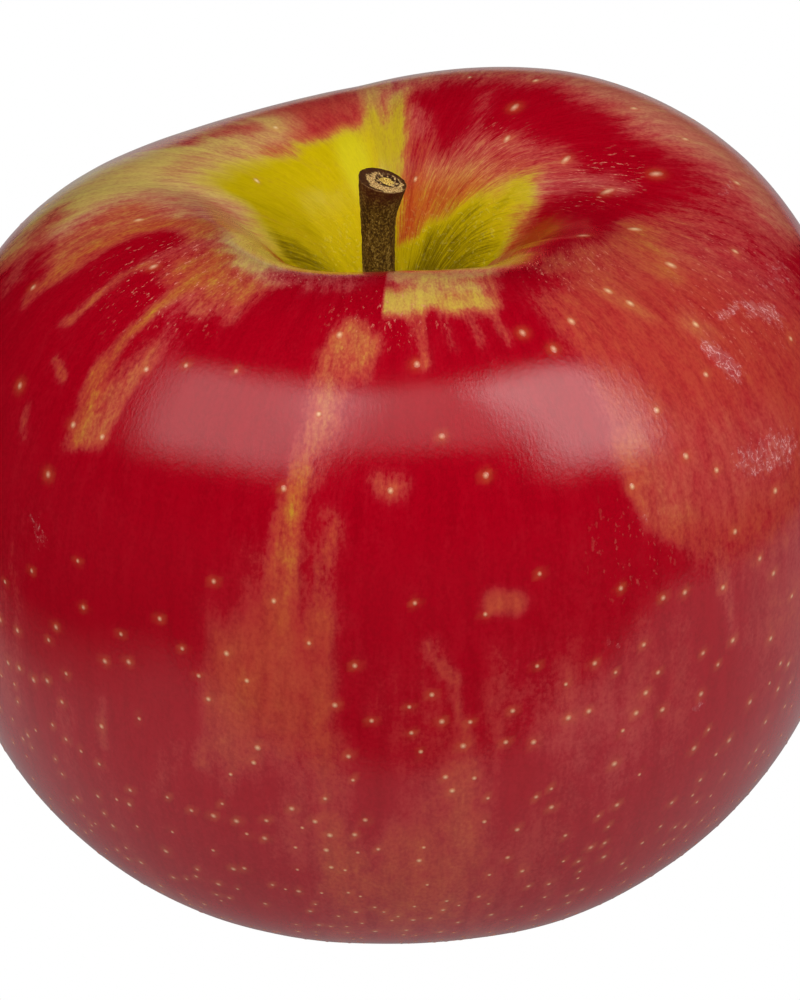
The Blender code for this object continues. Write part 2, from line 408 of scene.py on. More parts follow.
# each mark: from, to, half widths at both ends (mm), soft edge (mm), ripeness, paleness, strength; near the
# rims the paleness is partly painted sheen
skinMarks = [
    # rear rim and the rear left shoulder
    ((97, 30.2), (128, 30.8), (3.1, 2.8), 2.6, 0.69, 0.25, 1.0),
    # partly painted sheen: the pale tan of the rear left shoulder
    ((130, 33), (172, 33), (6.0, 7.0), 3.0, 0.09, 0.8, 1.0),
    ((150, 38), (174, 41), (6.0, 5.0), 4.0, 0.13, 0.8, 1.0),
    ((124, 28.4), (160, 29.0), (1.2, 1.6), 1.4, 0.24, 0.7, 1.0),
    ((127, 32.0), (142, 34.4), (1.9, 1.3), 1.8, 0.66, 0.5, 0.85),
    ((141, 36), (150, 37), (1.6, 1.6), 1.8, 0.50, 0.8, 0.6),
    # partly painted sheen: the pale pinkish band below the rear rim
    ((92, 37.5), (142, 38), (4.2, 3.6), 2.4, 0.46, 1.0, 0.95),
    ((94.5, 20), (95.4, 38), (1.4, 1.1), 0.8, 0.05, 0.08, 1.0),
    ((90.5, 27.5), (91.4, 30), (0.9, 0.9), 0.7, 0.72, 0.3, 0.9),
    ((122, 25.6), (128, 26.6), (0.5, 0.8), 0.6, 0.46, 0.2, 0.7),
    # left shoulder
    ((172, 20.5), (184, 27), (1.9, 3.8), 2.0, 0.42, 0.7, 1.0),
    ((164, 22.5), (169.5, 29.0), (1.7, 2.6), 1.8, 0.27, 0.9, 1.0),
    ((172, 19), (202, 20.5), (2.2, 2.4), 1.8, 0.32, 0.8, 1.0),
    ((178, 22.4), (197, 26.8), (0.9, 1.5), 1.6, 0.64, 0.6, 0.9),
    ((172, 32), (180, 37), (3.4, 3.4), 2.6, 0.11, 0.8, 1.0),
    ((183, 30), (186, 36), (3.0, 3.0), 2.0, 0.44, 0.9, 0.95),
    ((190, 32), (194.5, 38), (3.2, 2.8), 2.2, 0.50, 0.2, 0.95),
    ((196.8, 27), (197.4, 43.5), (1.1, 0.7), 1.0, 0.50, 0.0, 0.9),
    ((176, 40), (188, 43), (2.2, 1.8), 1.8, 0.66, 0.3, 0.8),
    ((175, 41), (177, 46), (0.8, 0.6), 0.8, 0.30, 0.9, 0.9),
    ((196, 24.8), (222, 27.4), (1.7, 1.9), 1.4, 0.44, 0.1, 1.0),
    ((203, 20.8), (237, 26.4), (3.0, 3.4), 1.5, 0.18, 0.8, 1.0),
    # partly painted sheen: the pale pink of the front lip
    ((243, 25), (258, 24.4), (1.8, 1.4), 1.4, 0.64, 1.0, 0.9),
    ((220, 30.6), (234, 31.4), (2.5, 2.3), 1.9, 0.47, 0.1, 1.0),
    ((226, 33.8), (238, 34.6), (1.1, 0.8), 1.2, 0.56, 0.4, 0.8),
    ((225, 35.5), (231, 38.5), (1.6, 1.4), 1.4, 0.82, 0.7, 0.8),
    ((224.4, 31), (221.6, 45), (1.0, 0.55), 0.7, 0.46, 0.0, 1.0),
    ((221.6, 44), (223.6, 49.5), (0.8, 1.5), 1.0, 0.52, 0.0, 1.0),
    ((229.4, 40.2), (225.4, 49), (0.9, 1.5), 1.1, 0.56, 0.2, 1.0),
    ((211.4, 33), (209.4, 41), (0.35, 0.60), 0.5, 0.46, 0.1, 1.0),
    ((210, 26), (210.6, 33), (1.0, 0.7), 0.9, 0.70, 0.5, 0.9),
    ((220.4, 27), (219.4, 33.5), (0.8, 0.4), 0.7, 0.54, 0.0, 0.9),
    ((213, 45), (216, 47), (0.40, 0.30), 0.4, 0.55, 0.0, 0.9),
    ((211.5, 50), (213.6, 53), (0.30, 0.30), 0.4, 0.62, 0.0, 0.8),
    # front
    ((262.8, 35.2), (261.4, 38.0), (1.6, 1.4), 1.5, 0.45, 0.2, 1.0),
    ((261.0, 38), (257.6, 48), (1.5, 1.2), 1.8, 0.52, 0.2, 1.0),
    ((257.2, 48), (255.6, 55), (1.0, 1.2), 0.9, 0.47, 0.0, 1.0),
    ((255.6, 55), (256.6, 66), (1.3, 0.8), 1.0, 0.47, 0.0, 1.0),
    ((261.6, 50.5), (260.4, 62), (0.6, 1.0), 1.3, 0.62, 0.0, 0.9),
    ((254, 55), (254, 66), (1.8, 2.6), 3.4, 0.70, 0.0, 0.8),
    ((249.6, 62), (248, 75), (2.3, 2.6), 3.4, 0.71, 0.1, 0.85),
    ((256, 64), (254.6, 73), (1.5, 1.2), 2.2, 0.77, 0.1, 0.8),
    ((247.0, 62), (246.0, 76), (0.4, 0.5), 0.9, 0.60, 0.0, 0.6),
    ((258, 66), (257, 84), (2.0, 2.0), 2.6, 0.76, 0.1, 0.8),
    ((274.2, 62), (276.5, 64.5), (0.7, 0.6), 0.8, 0.66, 0.1, 0.9),
    ((276.4, 64), (278.6, 71.5), (0.40, 0.30), 0.5, 0.68, 0.1, 0.9),
    ((278, 74), (277.4, 95), (0.9, 0.9), 1.2, 0.76, 0.1, 0.8),
    ((262.8, 72), (263.2, 87), (0.9, 0.7), 1.0, 0.74, 0.0, 0.8),
    ((231, 73), (231, 78), (0.5, 0.4), 0.7, 0.70, 0.0, 0.8),
    # partly painted sheen: the pale pink of the front lip
    ((240, 27), (257, 26.8), (2.2, 2.0), 1.8, 0.80, 0.9, 0.9),
    # right flank
    ((314.6, 31.5), (316, 36.5), (1.0, 1.0), 1.1, 0.50, 0.2, 1.0),
    ((323, 38), (324.6, 41), (0.9, 0.9), 1.0, 0.50, 0.3, 0.9),
    ((320, 28), (346, 32.5), (4.2, 5.0), 3.5, 0.60, 0.2, 0.9),
    ((338, 29.5), (347, 27.4), (1.7, 1.3), 1.7, 0.50, 0.1, 0.9),
    ((331, 33.2), (337, 31), (1.3, 1.1), 1.4, 0.48, 0.1, 0.9),
    ((302.5, 48), (307, 54), (2.2, 2.2), 1.6, 0.56, 0.0, 0.9),
    ((309, 50), (324, 52), (4.5, 4.0), 3.4, 0.70, 0.6, 0.7),
    ((312.3, 59), (314.2, 69), (0.6, 0.35), 0.6, 0.62, 0.3, 0.9),
    ((288, 68), (298, 76), (4.0, 5.0), 4.0, 0.86, 0.5, 0.8),
    ((348, 37), (353, 36.6), (0.6, 0.5), 0.8, 0.46, 0.2, 0.9),
    # partly painted sheen: the pale tan along the top of the right shoulder
    ((297, 23.6), (316, 20.0), (1.6, 1.8), 1.6, 0.52, 0.9, 0.8),
    ((314, 17.0), (334, 14.0), (1.8, 2.0), 1.6, 0.50, 0.9, 0.9),
    # partly painted sheen: the whitish haze over the dull red of the right rim
    ((350, 38), (14, 39), (6.0, 6.0), 5.0, 0.76, 0.6, 0.85),
    # right shoulder and the right wall of the stem hollow
    ((8, 26.6), (24, 21.4), (1.2, 1.5), 1.4, 0.66, 1.0, 0.9),
    ((10, 15.5), (19, 17.6), (1.3, 1.2), 1.4, 0.70, 0.5, 0.85),
    ((26, 23.4), (62, 20.6), (1.0, 1.6), 1.8, 0.60, 0.6, 0.9),
    ((50, 18.4), (74, 17.8), (1.3, 2.4), 1.8, 0.50, 0.7, 1.0),
    ((66, 14.8), (85, 16.4), (1.0, 1.6), 1.0, 0.52, 0.1, 1.0),
    ((63.4, 21), (65.4, 27.5), (0.8, 0.5), 1.4, 0.72, 0.6, 0.8),
    ((80, 19), (84, 26), (1.2, 1.0), 1.0, 0.62, 0.8, 0.8),
    ((89.4, 16), (89.6, 30), (0.8, 0.9), 0.7, 0.08, 0.08, 1.0),
    ((82.4, 13.0), (82.0, 21.6), (0.7, 1.4), 0.8, 0.76, 0.0, 1.0),
    # partly painted sheen: the wide pale pinkish band along the right rim
    ((9, 41.5), (34, 37.4), (3.6, 5.4), 4.5, 0.50, 1.0, 0.95),
    ((30, 36.2), (88, 35.2), (5.2, 4.7), 4.2, 0.49, 1.0, 0.95),
    # the side that the shoulder's yellow runs down to, and streaks round the back
    ((118, 47), (168, 56), (9.0, 11.0), 9.0, 0.55, 0.1, 0.8),
    ((140, 60), (158, 78), (6.0, 4.0), 7.0, 0.62, 0.0, 0.7),
    ((152, 44), (150, 70), (1.6, 0.6), 1.2, 0.38, 0.1, 0.9),
    ((135, 42), (133, 62), (1.2, 0.5), 1.0, 0.42, 0.1, 0.9),
    ((104, 38), (105, 58), (1.0, 0.4), 0.9, 0.48, 0.0, 0.9),
    ((72, 40), (70, 66), (1.1, 0.5), 1.0, 0.50, 0.0, 0.9),
    ((48, 44), (47, 60), (0.8, 0.3), 0.8, 0.52, 0.0, 0.9),
    ((30, 52), (31, 72), (0.9, 0.4), 0.9, 0.56, 0.0, 0.8),
    ((192, 52), (190, 70), (0.9, 0.4), 0.8, 0.50, 0.0, 0.9),
    ((352, 48), (350, 66), (1.2, 0.6), 1.2, 0.56, 0.0, 0.8),
]
# marks with a smooth outline
calmMarks = [
    ((281.6, 58.3), (284.4, 58.7), (1.1, 1.0), 0.4, 0.64, 0.05, 1.0),
    ((267.6, 48.4), (269.8, 48.6), (0.9, 0.9), 1.4, 0.62, 0.2, 0.9),
]
# the patch on the front lip, which ends in one clean line on its left
lipLeft = 266.9
lipMarks = [
    ((262, 25.2), (276, 25.9), (2.2, 2.0), 1.4, 0.50, 0.9, 1.0),
    ((276, 25), (292, 24.6), (2.4, 2.2), 1.5, 0.26, 0.6, 1.0),
    ((263, 30.4), (275.6, 30.2), (1.9, 1.8), 0.8, 0.17, 0.4, 1.0),
    ((277.6, 27.8), (286.6, 28.6), (2.0, 1.7), 1.3, 0.26, 0.5, 1.0),
    ((281.6, 31.4), (286.6, 31.4), (1.7, 1.5), 1.0, 0.18, 0.3, 1.0),
    ((290, 23.6), (299, 23.4), (1.8, 1.4), 1.6, 0.40, 0.9, 0.9),
    ((273.4, 32), (274.4, 39), (0.45, 0.25), 0.5, 0.56, 0.2, 0.9),
    ((278.6, 33), (279.2, 37), (0.25, 0.20), 0.4, 0.66, 0.4, 0.9),
    ((283.8, 33), (284.4, 37), (0.30, 0.25), 0.4, 0.60, 0.3, 0.9),
    ((287.6, 33), (288.2, 36), (0.30, 0.25), 0.4, 0.60, 0.3, 0.9),
]
# the orange flank on the right
rightFlank = dict(
    edge=[(297.2, 34), (298.6, 42), (300.4, 50), (304, 55), (310, 61)],  # its left border
    soft=1.3, softAbove=2.4, softFade=(52.0, 40.0),
    right=(342.0, 358.0), top=(28.0, 33.0), bottom=(56.0, 65.0), ripeness=0.71, palenessAndSheen=0.1,
)
skinPattern = dict(
    # layers of noise: strength, bumps per radian, bumps per mm along, seed
    frayAlong=((1.0, belly / 3.0, 0.15, 11), (0.6, belly / 1.7, 0.3, 12)),
    frayAround=(0.55, belly / 3.0, 0.25, 13),
    frayRadii=(6.0, 32.0),
    lowPatches=((1.0, 3.4, 0.045, 14), (0.6, 8.0, 0.09, 15), (0.55, 19.0, 0.06, 16)),
    lowArcs=(54.0, 70.0), lowShift=0.05, lowShare=0.22, lowMost=0.26,
    paler=((0.08, 66.0, 90.0), (0.10, 96.0, 112.0)),  # how much less ripe below the belly, and where
    # the deep places, darker and greener: the right wall, a crease on the left and the bottom of the
    # hollow; partly the hollow's own green, partly painted shade
    wallDirection=48.0, wallWidth=(0.30, 0.70), wallArcs=(9.0, 18.0), wallDepth=0.8,
    creaseDirection=147.0, creaseTurn=0.042, creaseStart=11.0, creaseWidth=(0.04, 0.24), creaseDepth=0.6,
    creaseArcs=((9.0, 12.0), (16.0, 24.0)),
    bottomArcs=(4.0, 10.0), bottomDepth=0.9, deepest=0.26,
    basinArcs=(118.0, 134.0), basinRipeness=0.34, basinShare=0.85,
)


def markMask(theta, arc, start, end, halfWidths, softEdge):
    # distance to the line between two places, measured on the skin; 1 inside, 0 beyond the soft edge
    perDegree = radiusAt(arc) * math.pi / 180.0
    across = np.degrees(angleBetween(theta, start[0])) * perDegree
    along = arc - start[1]
    lineAcross = ((end[0] - start[0] + 180.0) % 360.0 - 180.0) * perDegree
    lineAlong = end[1] - start[1]
    share = (across * lineAcross + along * lineAlong) / (lineAcross**2 + lineAlong**2 + 1e-9)
    share = np.clip(share, 0.0, 1.0)
    distance = np.hypot(across - share * lineAcross, along - share * lineAlong)
    width = halfWidths[0] + (halfWidths[1] - halfWidths[0]) * share
    soft = 0.45 + 0.7 * softEdge
    return fadeOut(distance, width - soft, width + soft)


def paintMarks(fields, marks, theta, arc, limit=1.0):
    # each mark draws ripeness and paleness towards its own values
    for start, end, halfWidths, softEdge, ripe, pale, strength in marks:
        mask = limit * strength * markMask(theta, arc, start, end, halfWidths, softEdge)
        fields = [field + (aim - field) * mask for field, aim in zip(fields, (ripe, pale))]
    return fields


def flankMask(degrees, arc):
    # 1 inside the flank's own outline, fading over its soft borders
    flank = rightFlank
    borderDegrees, borderArcs = np.array(flank["edge"]).T
    border = np.interp(arc, borderArcs, borderDegrees)
    soft = flank["soft"] + flank["softAbove"] * smoothStep(arc, *flank["softFade"])
    mask = smoothStep(degrees, border - soft, border + soft) * fadeOut(degrees, *flank["right"])
    return mask * smoothStep(arc, *flank["top"]) * fadeOut(arc, *flank["bottom"])


def greenShadedPlaces(theta, arc):
    # 1 where the hollow is darkest and greenest: partly its own green, partly painted shade
    look = skinPattern
    wall = fadeOut(np.abs(angleBetween(theta, look["wallDirection"])), *look["wallWidth"])
    wall = look["wallDepth"] * wall * fadeOut(arc, *look["wallArcs"])
    crease = angleBetween(theta, look["creaseDirection"]) - look["creaseTurn"] * (arc - look["creaseStart"])
    begin, end = look["creaseArcs"]
    crease = fadeOut(np.abs(crease), *look["creaseWidth"]) * smoothStep(arc, *begin) * fadeOut(arc, *end)
    bottom = look["bottomDepth"] * fadeOut(arc, *look["bottomArcs"])
    return np.clip(bottom + wall + look["creaseDepth"] * crease, 0.0, 1.0)


def skinFields(theta, arc):
    # ripeness and paleness at each place; near the rims the paleness is partly painted sheen. Places are
    # first shifted a little by streaky noise, so that every border frays along the meridians.
    look = skinPattern
    degrees = np.degrees(theta) % 360.0
    radius = np.maximum(radiusAt(arc), 4.0)
    evenTheta, evenArc = theta, arc
    frayAlong = roundNoise(theta, arc, *look["frayAlong"]) * smoothStep(radius, *look["frayRadii"])
    theta = theta + roundNoise(theta, arc, look["frayAround"]) / radius
    arc = arc + frayAlong

    edge = np.interp(degrees, *np.array(hollowEdge).T)
    apart = np.abs(angleBetween(theta, hollowSoft["direction"]))
    soft = hollowSoft["edge"] + hollowSoft["more"] * smoothStep(apart, *hollowSoft["fade"])
    ripeness = smoothStep(arc, edge - soft, edge + soft)
    ripeness = ripeness * (1.0 - sum(share * smoothStep(arc, *arcs) for share, *arcs in look["paler"]))

    mask = flankMask(degrees, arc)
    fields = [ripeness + (rightFlank["ripeness"] - ripeness) * mask, rightFlank["palenessAndSheen"] * mask]
    fields = paintMarks(fields, skinMarks, theta, arc)
    fields = paintMarks(fields, calmMarks, evenTheta, evenArc)
    rightOfLine = smoothStep(degrees, lipLeft - 0.4, lipLeft + 0.4)
    ripeness, palenessAndSheen = paintMarks(fields, lipMarks, theta, arc, rightOfLine)

    # the lower half is a little lighter in broad upright patches, and the deep places are greener and
    # darker, partly their own green and partly painted shade
    patches = roundNoise(theta, arc, *look["lowPatches"])
    lighter = np.clip(look["lowShift"] + look["lowShare"] * patches, 0.0, look["lowMost"])
    ripeness = ripeness - smoothStep(arc, *look["lowArcs"]) * lighter * smoothStep(ripeness, 0.5, 0.9)
    ripeness = ripeness - look["deepest"] * greenShadedPlaces(theta, arc)
    basin = look["basinShare"] * smoothStep(arc, *look["basinArcs"])
    return ripeness + (look["basinRipeness"] - ripeness) * basin, palenessAndSheen


# areas of the skin: middle and half size (degrees, mm along the meridian), strength
skinAreas = dict(
    # sprinkled with tiny pale specks
    speckle=[((220, 31), (22, 10), 1.0), ((268, 32), (14, 5), 0.7), ((316, 27), (18, 6), 0.9),
             ((14, 25), (16, 5), 1.0), ((352, 38), (16, 8), 0.5), ((50, 21), (26, 4), 0.6),
             ((178, 23), (20, 5), 0.7), ((242, 26), (14, 4), 0.9), ((300, 56), (8, 6), 0.18),
             ((336, 39), (16, 8), 0.6)],
    # less mottled than elsewhere
    calm=[((322, 45), (36, 22), 0.55), ((250, 66), (22, 13), 0.65), ((50, 42), (56, 13), 0.70),
          ((112, 32), (22, 7), 0.55), ((283, 58.5), (6, 4), 0.6), ((118, 16), (34, 15), 0.45)],
    # painted light: the place on the hollow's wall that is painted brighter
    bright=[((105.0, 22.8), (7, 5), 1.0)],
)
lowCalm = (0.45, 56.0, 66.0)  # how much calmer the lower half is, and where that starts


def areaField(theta, arc, kind):
    total = np.zeros(np.broadcast(theta, arc).shape)
    for (degrees, middle), (halfDegrees, halfArc), strength in skinAreas[kind]:
        around = angleBetween(theta, degrees) / math.radians(halfDegrees)
        away = np.hypot(around, (arc - middle) / halfArc)
        total = np.maximum(total, strength * fadeOut(away, 0.4, 1.1))
    return total


# dull, finely scratched places: from, to, half width, strength
scuffMarks = [
    ((320, 52), (328, 53), 2.2, 0.72), ((323, 41.5), (324.5, 44.5), 1.1, 1.0),
    ((337, 40.5), (341, 43), 1.3, 0.9), ((330, 39.6), (335, 39.8), 0.6, 1.0),
    ((346, 41), (354, 42), 2.0, 0.5), ((6, 35.5), (12, 37.5), 0.3, 1.0),
    ((18, 40.5), (22, 42), 0.3, 1.0), ((219, 58.5), (221, 60), 0.9, 0.7),
    ((309, 73.8), (310, 74), 0.5, 0.9), ((296, 63.5), (297, 64.5), 0.5, 0.6),
    ((301, 53.2), (302, 53.6), 0.35, 0.9), ((228, 26), (236, 29), 0.5, 0.3),
]


def scuffField(theta, arc):
    total = np.zeros(np.broadcast(theta, arc).shape)
    for start, end, halfWidth, strength in scuffMarks:
        mask = strength * markMask(theta, arc, start, end, (halfWidth, halfWidth), 0.9 * halfWidth + 0.3)
        total = np.maximum(total, mask)
    return total


# the pale dots of the skin
dotSettings = dict(
    seed=20, tries=14000, halfWidth=(0.15, 0.25), sizePower=1.6, largeShare=0.52,
    smaller=0.14, smallerArcs=(70.0, 92.0),            # dots low on the fruit are this much smaller
    nearStemStretch=1.7, stretchArcs=(24.0, 46.0),     # and those near the stem are drawn out
    firstArc=18.0, lastMargin=4.0, gapShare=0.40, widestGap=5.0,
    densityArcs=(0, 18, 26, 45, 60, 68, 76, 90, 118, 128, 141),
    density=(0.0, 0.0, 0.003, 0.004, 0.010, 0.032, 0.062, 0.135, 0.18, 0.06, 0.0),  # dots per square mm
    # rings of each pad: share of its half width, height, paleness; then how far its top lies above
    # the first ring, the height of its foot, and the reach of its glow in half widths
    segments=8, rings=((0.32, 0.030, 1.0), (0.78, 0.022, 0.45), (1.40, 0.005, 0.09), (1.80, -0.03, 0.0)),
    topRise=0.01, foot=-0.07, haloReach=2.3,
)
# large dots: place, and a size in mm that largeShare turns into the half width
largeDots = [
    (213, 33, 0.5), (192, 31, 0.5), (195.7, 42.4, 0.5), (208.4, 49, 0.5), (221.5, 49, 0.45),
    (227, 48.8, 0.4), (259.5, 35, 0.45), (258.5, 42.8, 0.4), (255, 49.2, 0.4), (254.8, 58.5, 0.35),
    (273, 38, 0.42), (292, 35.5, 0.45), (296, 37.6, 0.45), (302, 35, 0.5), (269, 48.9, 0.4),
    (276, 44.6, 0.4), (281.5, 48, 0.4), (301, 50.7, 0.4), (308, 45, 0.45), (310, 49.5, 0.45),
    (314.2, 51.6, 0.4), (323.6, 56, 0.45), (315.4, 57.6, 0.4), (319, 43.5, 0.4), (324, 39, 0.5),
    (345, 28, 0.6), (334, 33, 0.6), (337, 24, 0.6), (8, 25.3, 0.6), (11, 30, 0.6), (314.6, 32.5, 0.5),
    (316, 34.6, 0.5), (280.5, 59.3, 0.3), (312.8, 62.3, 0.4), (314.6, 68.3, 0.42), (322, 63.8, 0.42),
    (247, 57.7, 0.35), (249, 64, 0.4), (251.6, 66.3, 0.35), (246.6, 69, 0.38), (303.6, 61, 0.4),
    (306.8, 61.2, 0.4), (319.4, 61.4, 0.4), (272, 58, 0.3), (287.4, 56.4, 0.3), (297.8, 59, 0.35),
    (224, 67.4, 0.4), (232, 68.5, 0.4), (235.6, 67.6, 0.4), (222, 73.8, 0.42), (262.4, 67.7, 0.4),
    (293.5, 70.3, 0.4), (300, 71.9, 0.42), (303.8, 72.5, 0.42), (309.7, 72.5, 0.42),
    (283.8, 68.8, 0.36), (283, 72, 0.36), (240, 62.3, 0.35), (264.8, 63.7, 0.36), (274, 66.5, 0.36),
    (264, 73, 0.36), (56, 26, 0.5), (51, 22.3, 0.4), (29, 23.8, 0.45), (82.6, 18.4, 0.28),
    (58, 31, 0.45), (36, 33.4, 0.45), (24, 35.2, 0.45), (349, 37, 0.45), (12, 38, 0.5),
    (340, 45.5, 0.4), (120.6, 30, 0.4), (213.8, 75, 0.4), (231, 75.8, 0.4), (244, 39.9, 0.3),
    (235.4, 40.5, 0.35), (229.2, 42, 0.4),
]


def dotDensity(arc):
    return np.interp(arc, dotSettings["densityArcs"], dotSettings["density"])


def scatterDots():
    # darts thrown at the skin, more of them where it is denser; one is kept if no kept dot is near
    look = dotSettings
    draw = np.random.default_rng(look["seed"])
    tries = look["tries"]
    arcSamples = np.linspace(look["firstArc"], wholeArc - look["lastMargin"], 400)
    weight = dotDensity(arcSamples) * radiusAt(arcSamples)
    share = np.cumsum(weight) / weight.sum()
    wanted = int(weight.sum() * (arcSamples[1] - arcSamples[0]) * wholeTurn)
    arcs = np.interp(draw.random(tries), share, arcSamples)
    thetas = draw.random(tries) * wholeTurn
    smallest, largest = look["halfWidth"]
    sizes = smallest + (largest - smallest) * draw.random(tries) ** look["sizePower"]
    sizes = sizes * (1.0 - look["smaller"] * smoothStep(arcs, *look["smallerArcs"]))
    kept = [(math.radians(degrees), arc, size * look["largeShare"]) for degrees, arc, size in largeDots]
    places = evenPoint(*np.array(kept)[:, :2].T)
    candidates = evenPoint(thetas, arcs)
    gaps = np.minimum(look["gapShare"] / np.sqrt(dotDensity(arcs) + 1e-4), look["widestGap"])
    for number in range(tries):
        if len(kept) >= wanted:
            break
        if np.linalg.norm(places - candidates[number], axis=1).min() < gaps[number]:
            continue
        kept.append((thetas[number], arcs[number], sizes[number]))
        places = np.vstack([places, candidates[number]])
    return np.array(kept), places


dots, dotPlaces = scatterDots()
print("dots placed:", len(dots))


def haloField(points):
    # a soft pale ring round each dot, worked out a block of points at a time to spare memory
    blocks = []
    for block in np.array_split(points, len(points) // 4000 + 1):
        apart = np.linalg.norm(block[:, None, :] - dotPlaces[None], axis=-1)
        blocks.append(np.exp(-((apart / (dotSettings["haloReach"] * dots[None, :, 2])) ** 2)).max(axis=1))
    return np.concatenate(blocks)


skinGrid = dict(
    columns=400, upperStep=0.46, lowerStep=0.84, stepChange=72.0, endMargin=0.3,
    # rings down the wall of the stem's socket: share of its depth, share of its radius
    wall=((0.95, 0.90), (0.6, 0.95), (0.25, 0.97), (0.06, 0.985)),
    swing=8.8, swingArc=32.0, swingSpread=40.0,  # how the streaks turn round the hollow
)


def writeSkinAttributes(mesh, theta, arc, spot):
    ripeness, palenessAndSheen = skinFields(theta, arc)
    # on the shoulders the streaks swing round the hollow instead of running straight into it
    nearHollow = np.maximum(skinGrid["swingArc"] - arc, 0.0) ** 2 / skinGrid["swingSpread"]
    swing = theta - math.radians(skinGrid["swing"]) * np.cos(theta) * nearHollow
    streak = np.stack([belly * np.cos(swing), belly * np.sin(swing), arc + 0.0 * theta], axis=-1)
    share, *arcs = lowCalm
    calm = np.maximum(areaField(theta, arc, "calm"), share * smoothStep(arc, *arcs))
    setAttributes(mesh, streak=streak, ripe=ripeness, pale=palenessAndSheen, scuff=scuffField(theta, arc),
                  speckle=areaField(theta, arc, "speckle"), bright=areaField(theta, arc, "bright"),
                  mottled=1.0 - calm, halo=haloField(evenPoint(theta, arc)), spot=spot)


def makeSkin(material):
    # the whole skin as one grid: down the socket's wall, out over the shoulder and in to the calyx
    grid = skinGrid
    upper = np.arange(socketArc, grid["stepChange"], grid["upperStep"])
    lowerCount = int((wholeArc - grid["stepChange"]) / grid["lowerStep"])
    lower = np.linspace(grid["stepChange"], wholeArc - grid["endMargin"], lowerCount)
    theta, arc = np.meshgrid(roundGrid(grid["columns"]), np.concatenate([upper, lower]))
    points = skinPoint(theta, arc)
    rim = points[0]
    middle = rim.mean(axis=0)
    depths, narrowings = np.array(grid["wall"]).T[:, :, None, None]
    wall = rim + np.array([0.0, 0.0, stemFloor - middle[2]]) * depths
    wall[:, :, :2] = middle[:2] + (wall[:, :, :2] - middle[:2]) * narrowings
    rings = np.concatenate([wall, points])
    startPole = [middle[0], middle[1], wall[0, :, 2].mean()]
    mesh = closedTube("fruit_skin", rings, startPole, points[-1].mean(axis=0))
    rows = len(grid["wall"])
    theta = np.concatenate([np.repeat(theta[:1], rows, axis=0), theta]).ravel()
    arc = np.concatenate([np.repeat(arc[:1], rows, axis=0), arc]).ravel()
    theta = np.concatenate([theta, [0.0, 0.0]])
    arc = np.concatenate([arc, [socketArc, wholeArc - grid["endMargin"]]])
    writeSkinAttributes(mesh, theta, arc, np.zeros(len(theta)))
    addPiece("fruit_skin", mesh, material, "skin", "fruit")


def makeDots(material):
    # each dot is a low round pad on the skin, closed by a pole on top and one below the skin
    look = dotSettings
    count = len(dots)
    dotTheta, dotArc, size = (column[:, None, None] for column in dots.T)
    turn = roundGrid(look["segments"])[None, None, :]
    shares, heights, spots = np.array(look["rings"]).T[:, None, :, None]
    stretch = 1.0 + (look["nearStemStretch"] - 1.0) * fadeOut(dotArc, *look["stretchArcs"])
    arc = dotArc + size * shares * np.sin(turn) * stretch
    theta = dotTheta + size * shares * np.cos(turn) / np.maximum(radiusAt(arc), 3.0)
    rings = skinPoint(theta, arc, np.broadcast_to(heights, theta.shape))
    topHeight = look["rings"][0][1] + look["topRise"]
    top, bottom = (skinPoint(*dots.T[:2], np.full(count, height)) for height in (topHeight, look["foot"]))
    mesh = closedTube("skin_dots", rings, top, bottom, count)
    spot = np.broadcast_to(spots, theta.shape)
    poles = np.ones((count, 1))
    theta, arc, spot = (
        np.concatenate([field.reshape(count, -1), first, last], axis=1).ravel()
        for field, first, last in ((theta, dots[:, :1], dots[:, :1]), (arc, dots[:, 1:2], dots[:, 1:2]),
                                   (spot, poles, 0.0 * poles)))
    writeSkinAttributes(mesh, theta, arc, spot)
    addPiece("skin_dots", mesh, material, "skin")


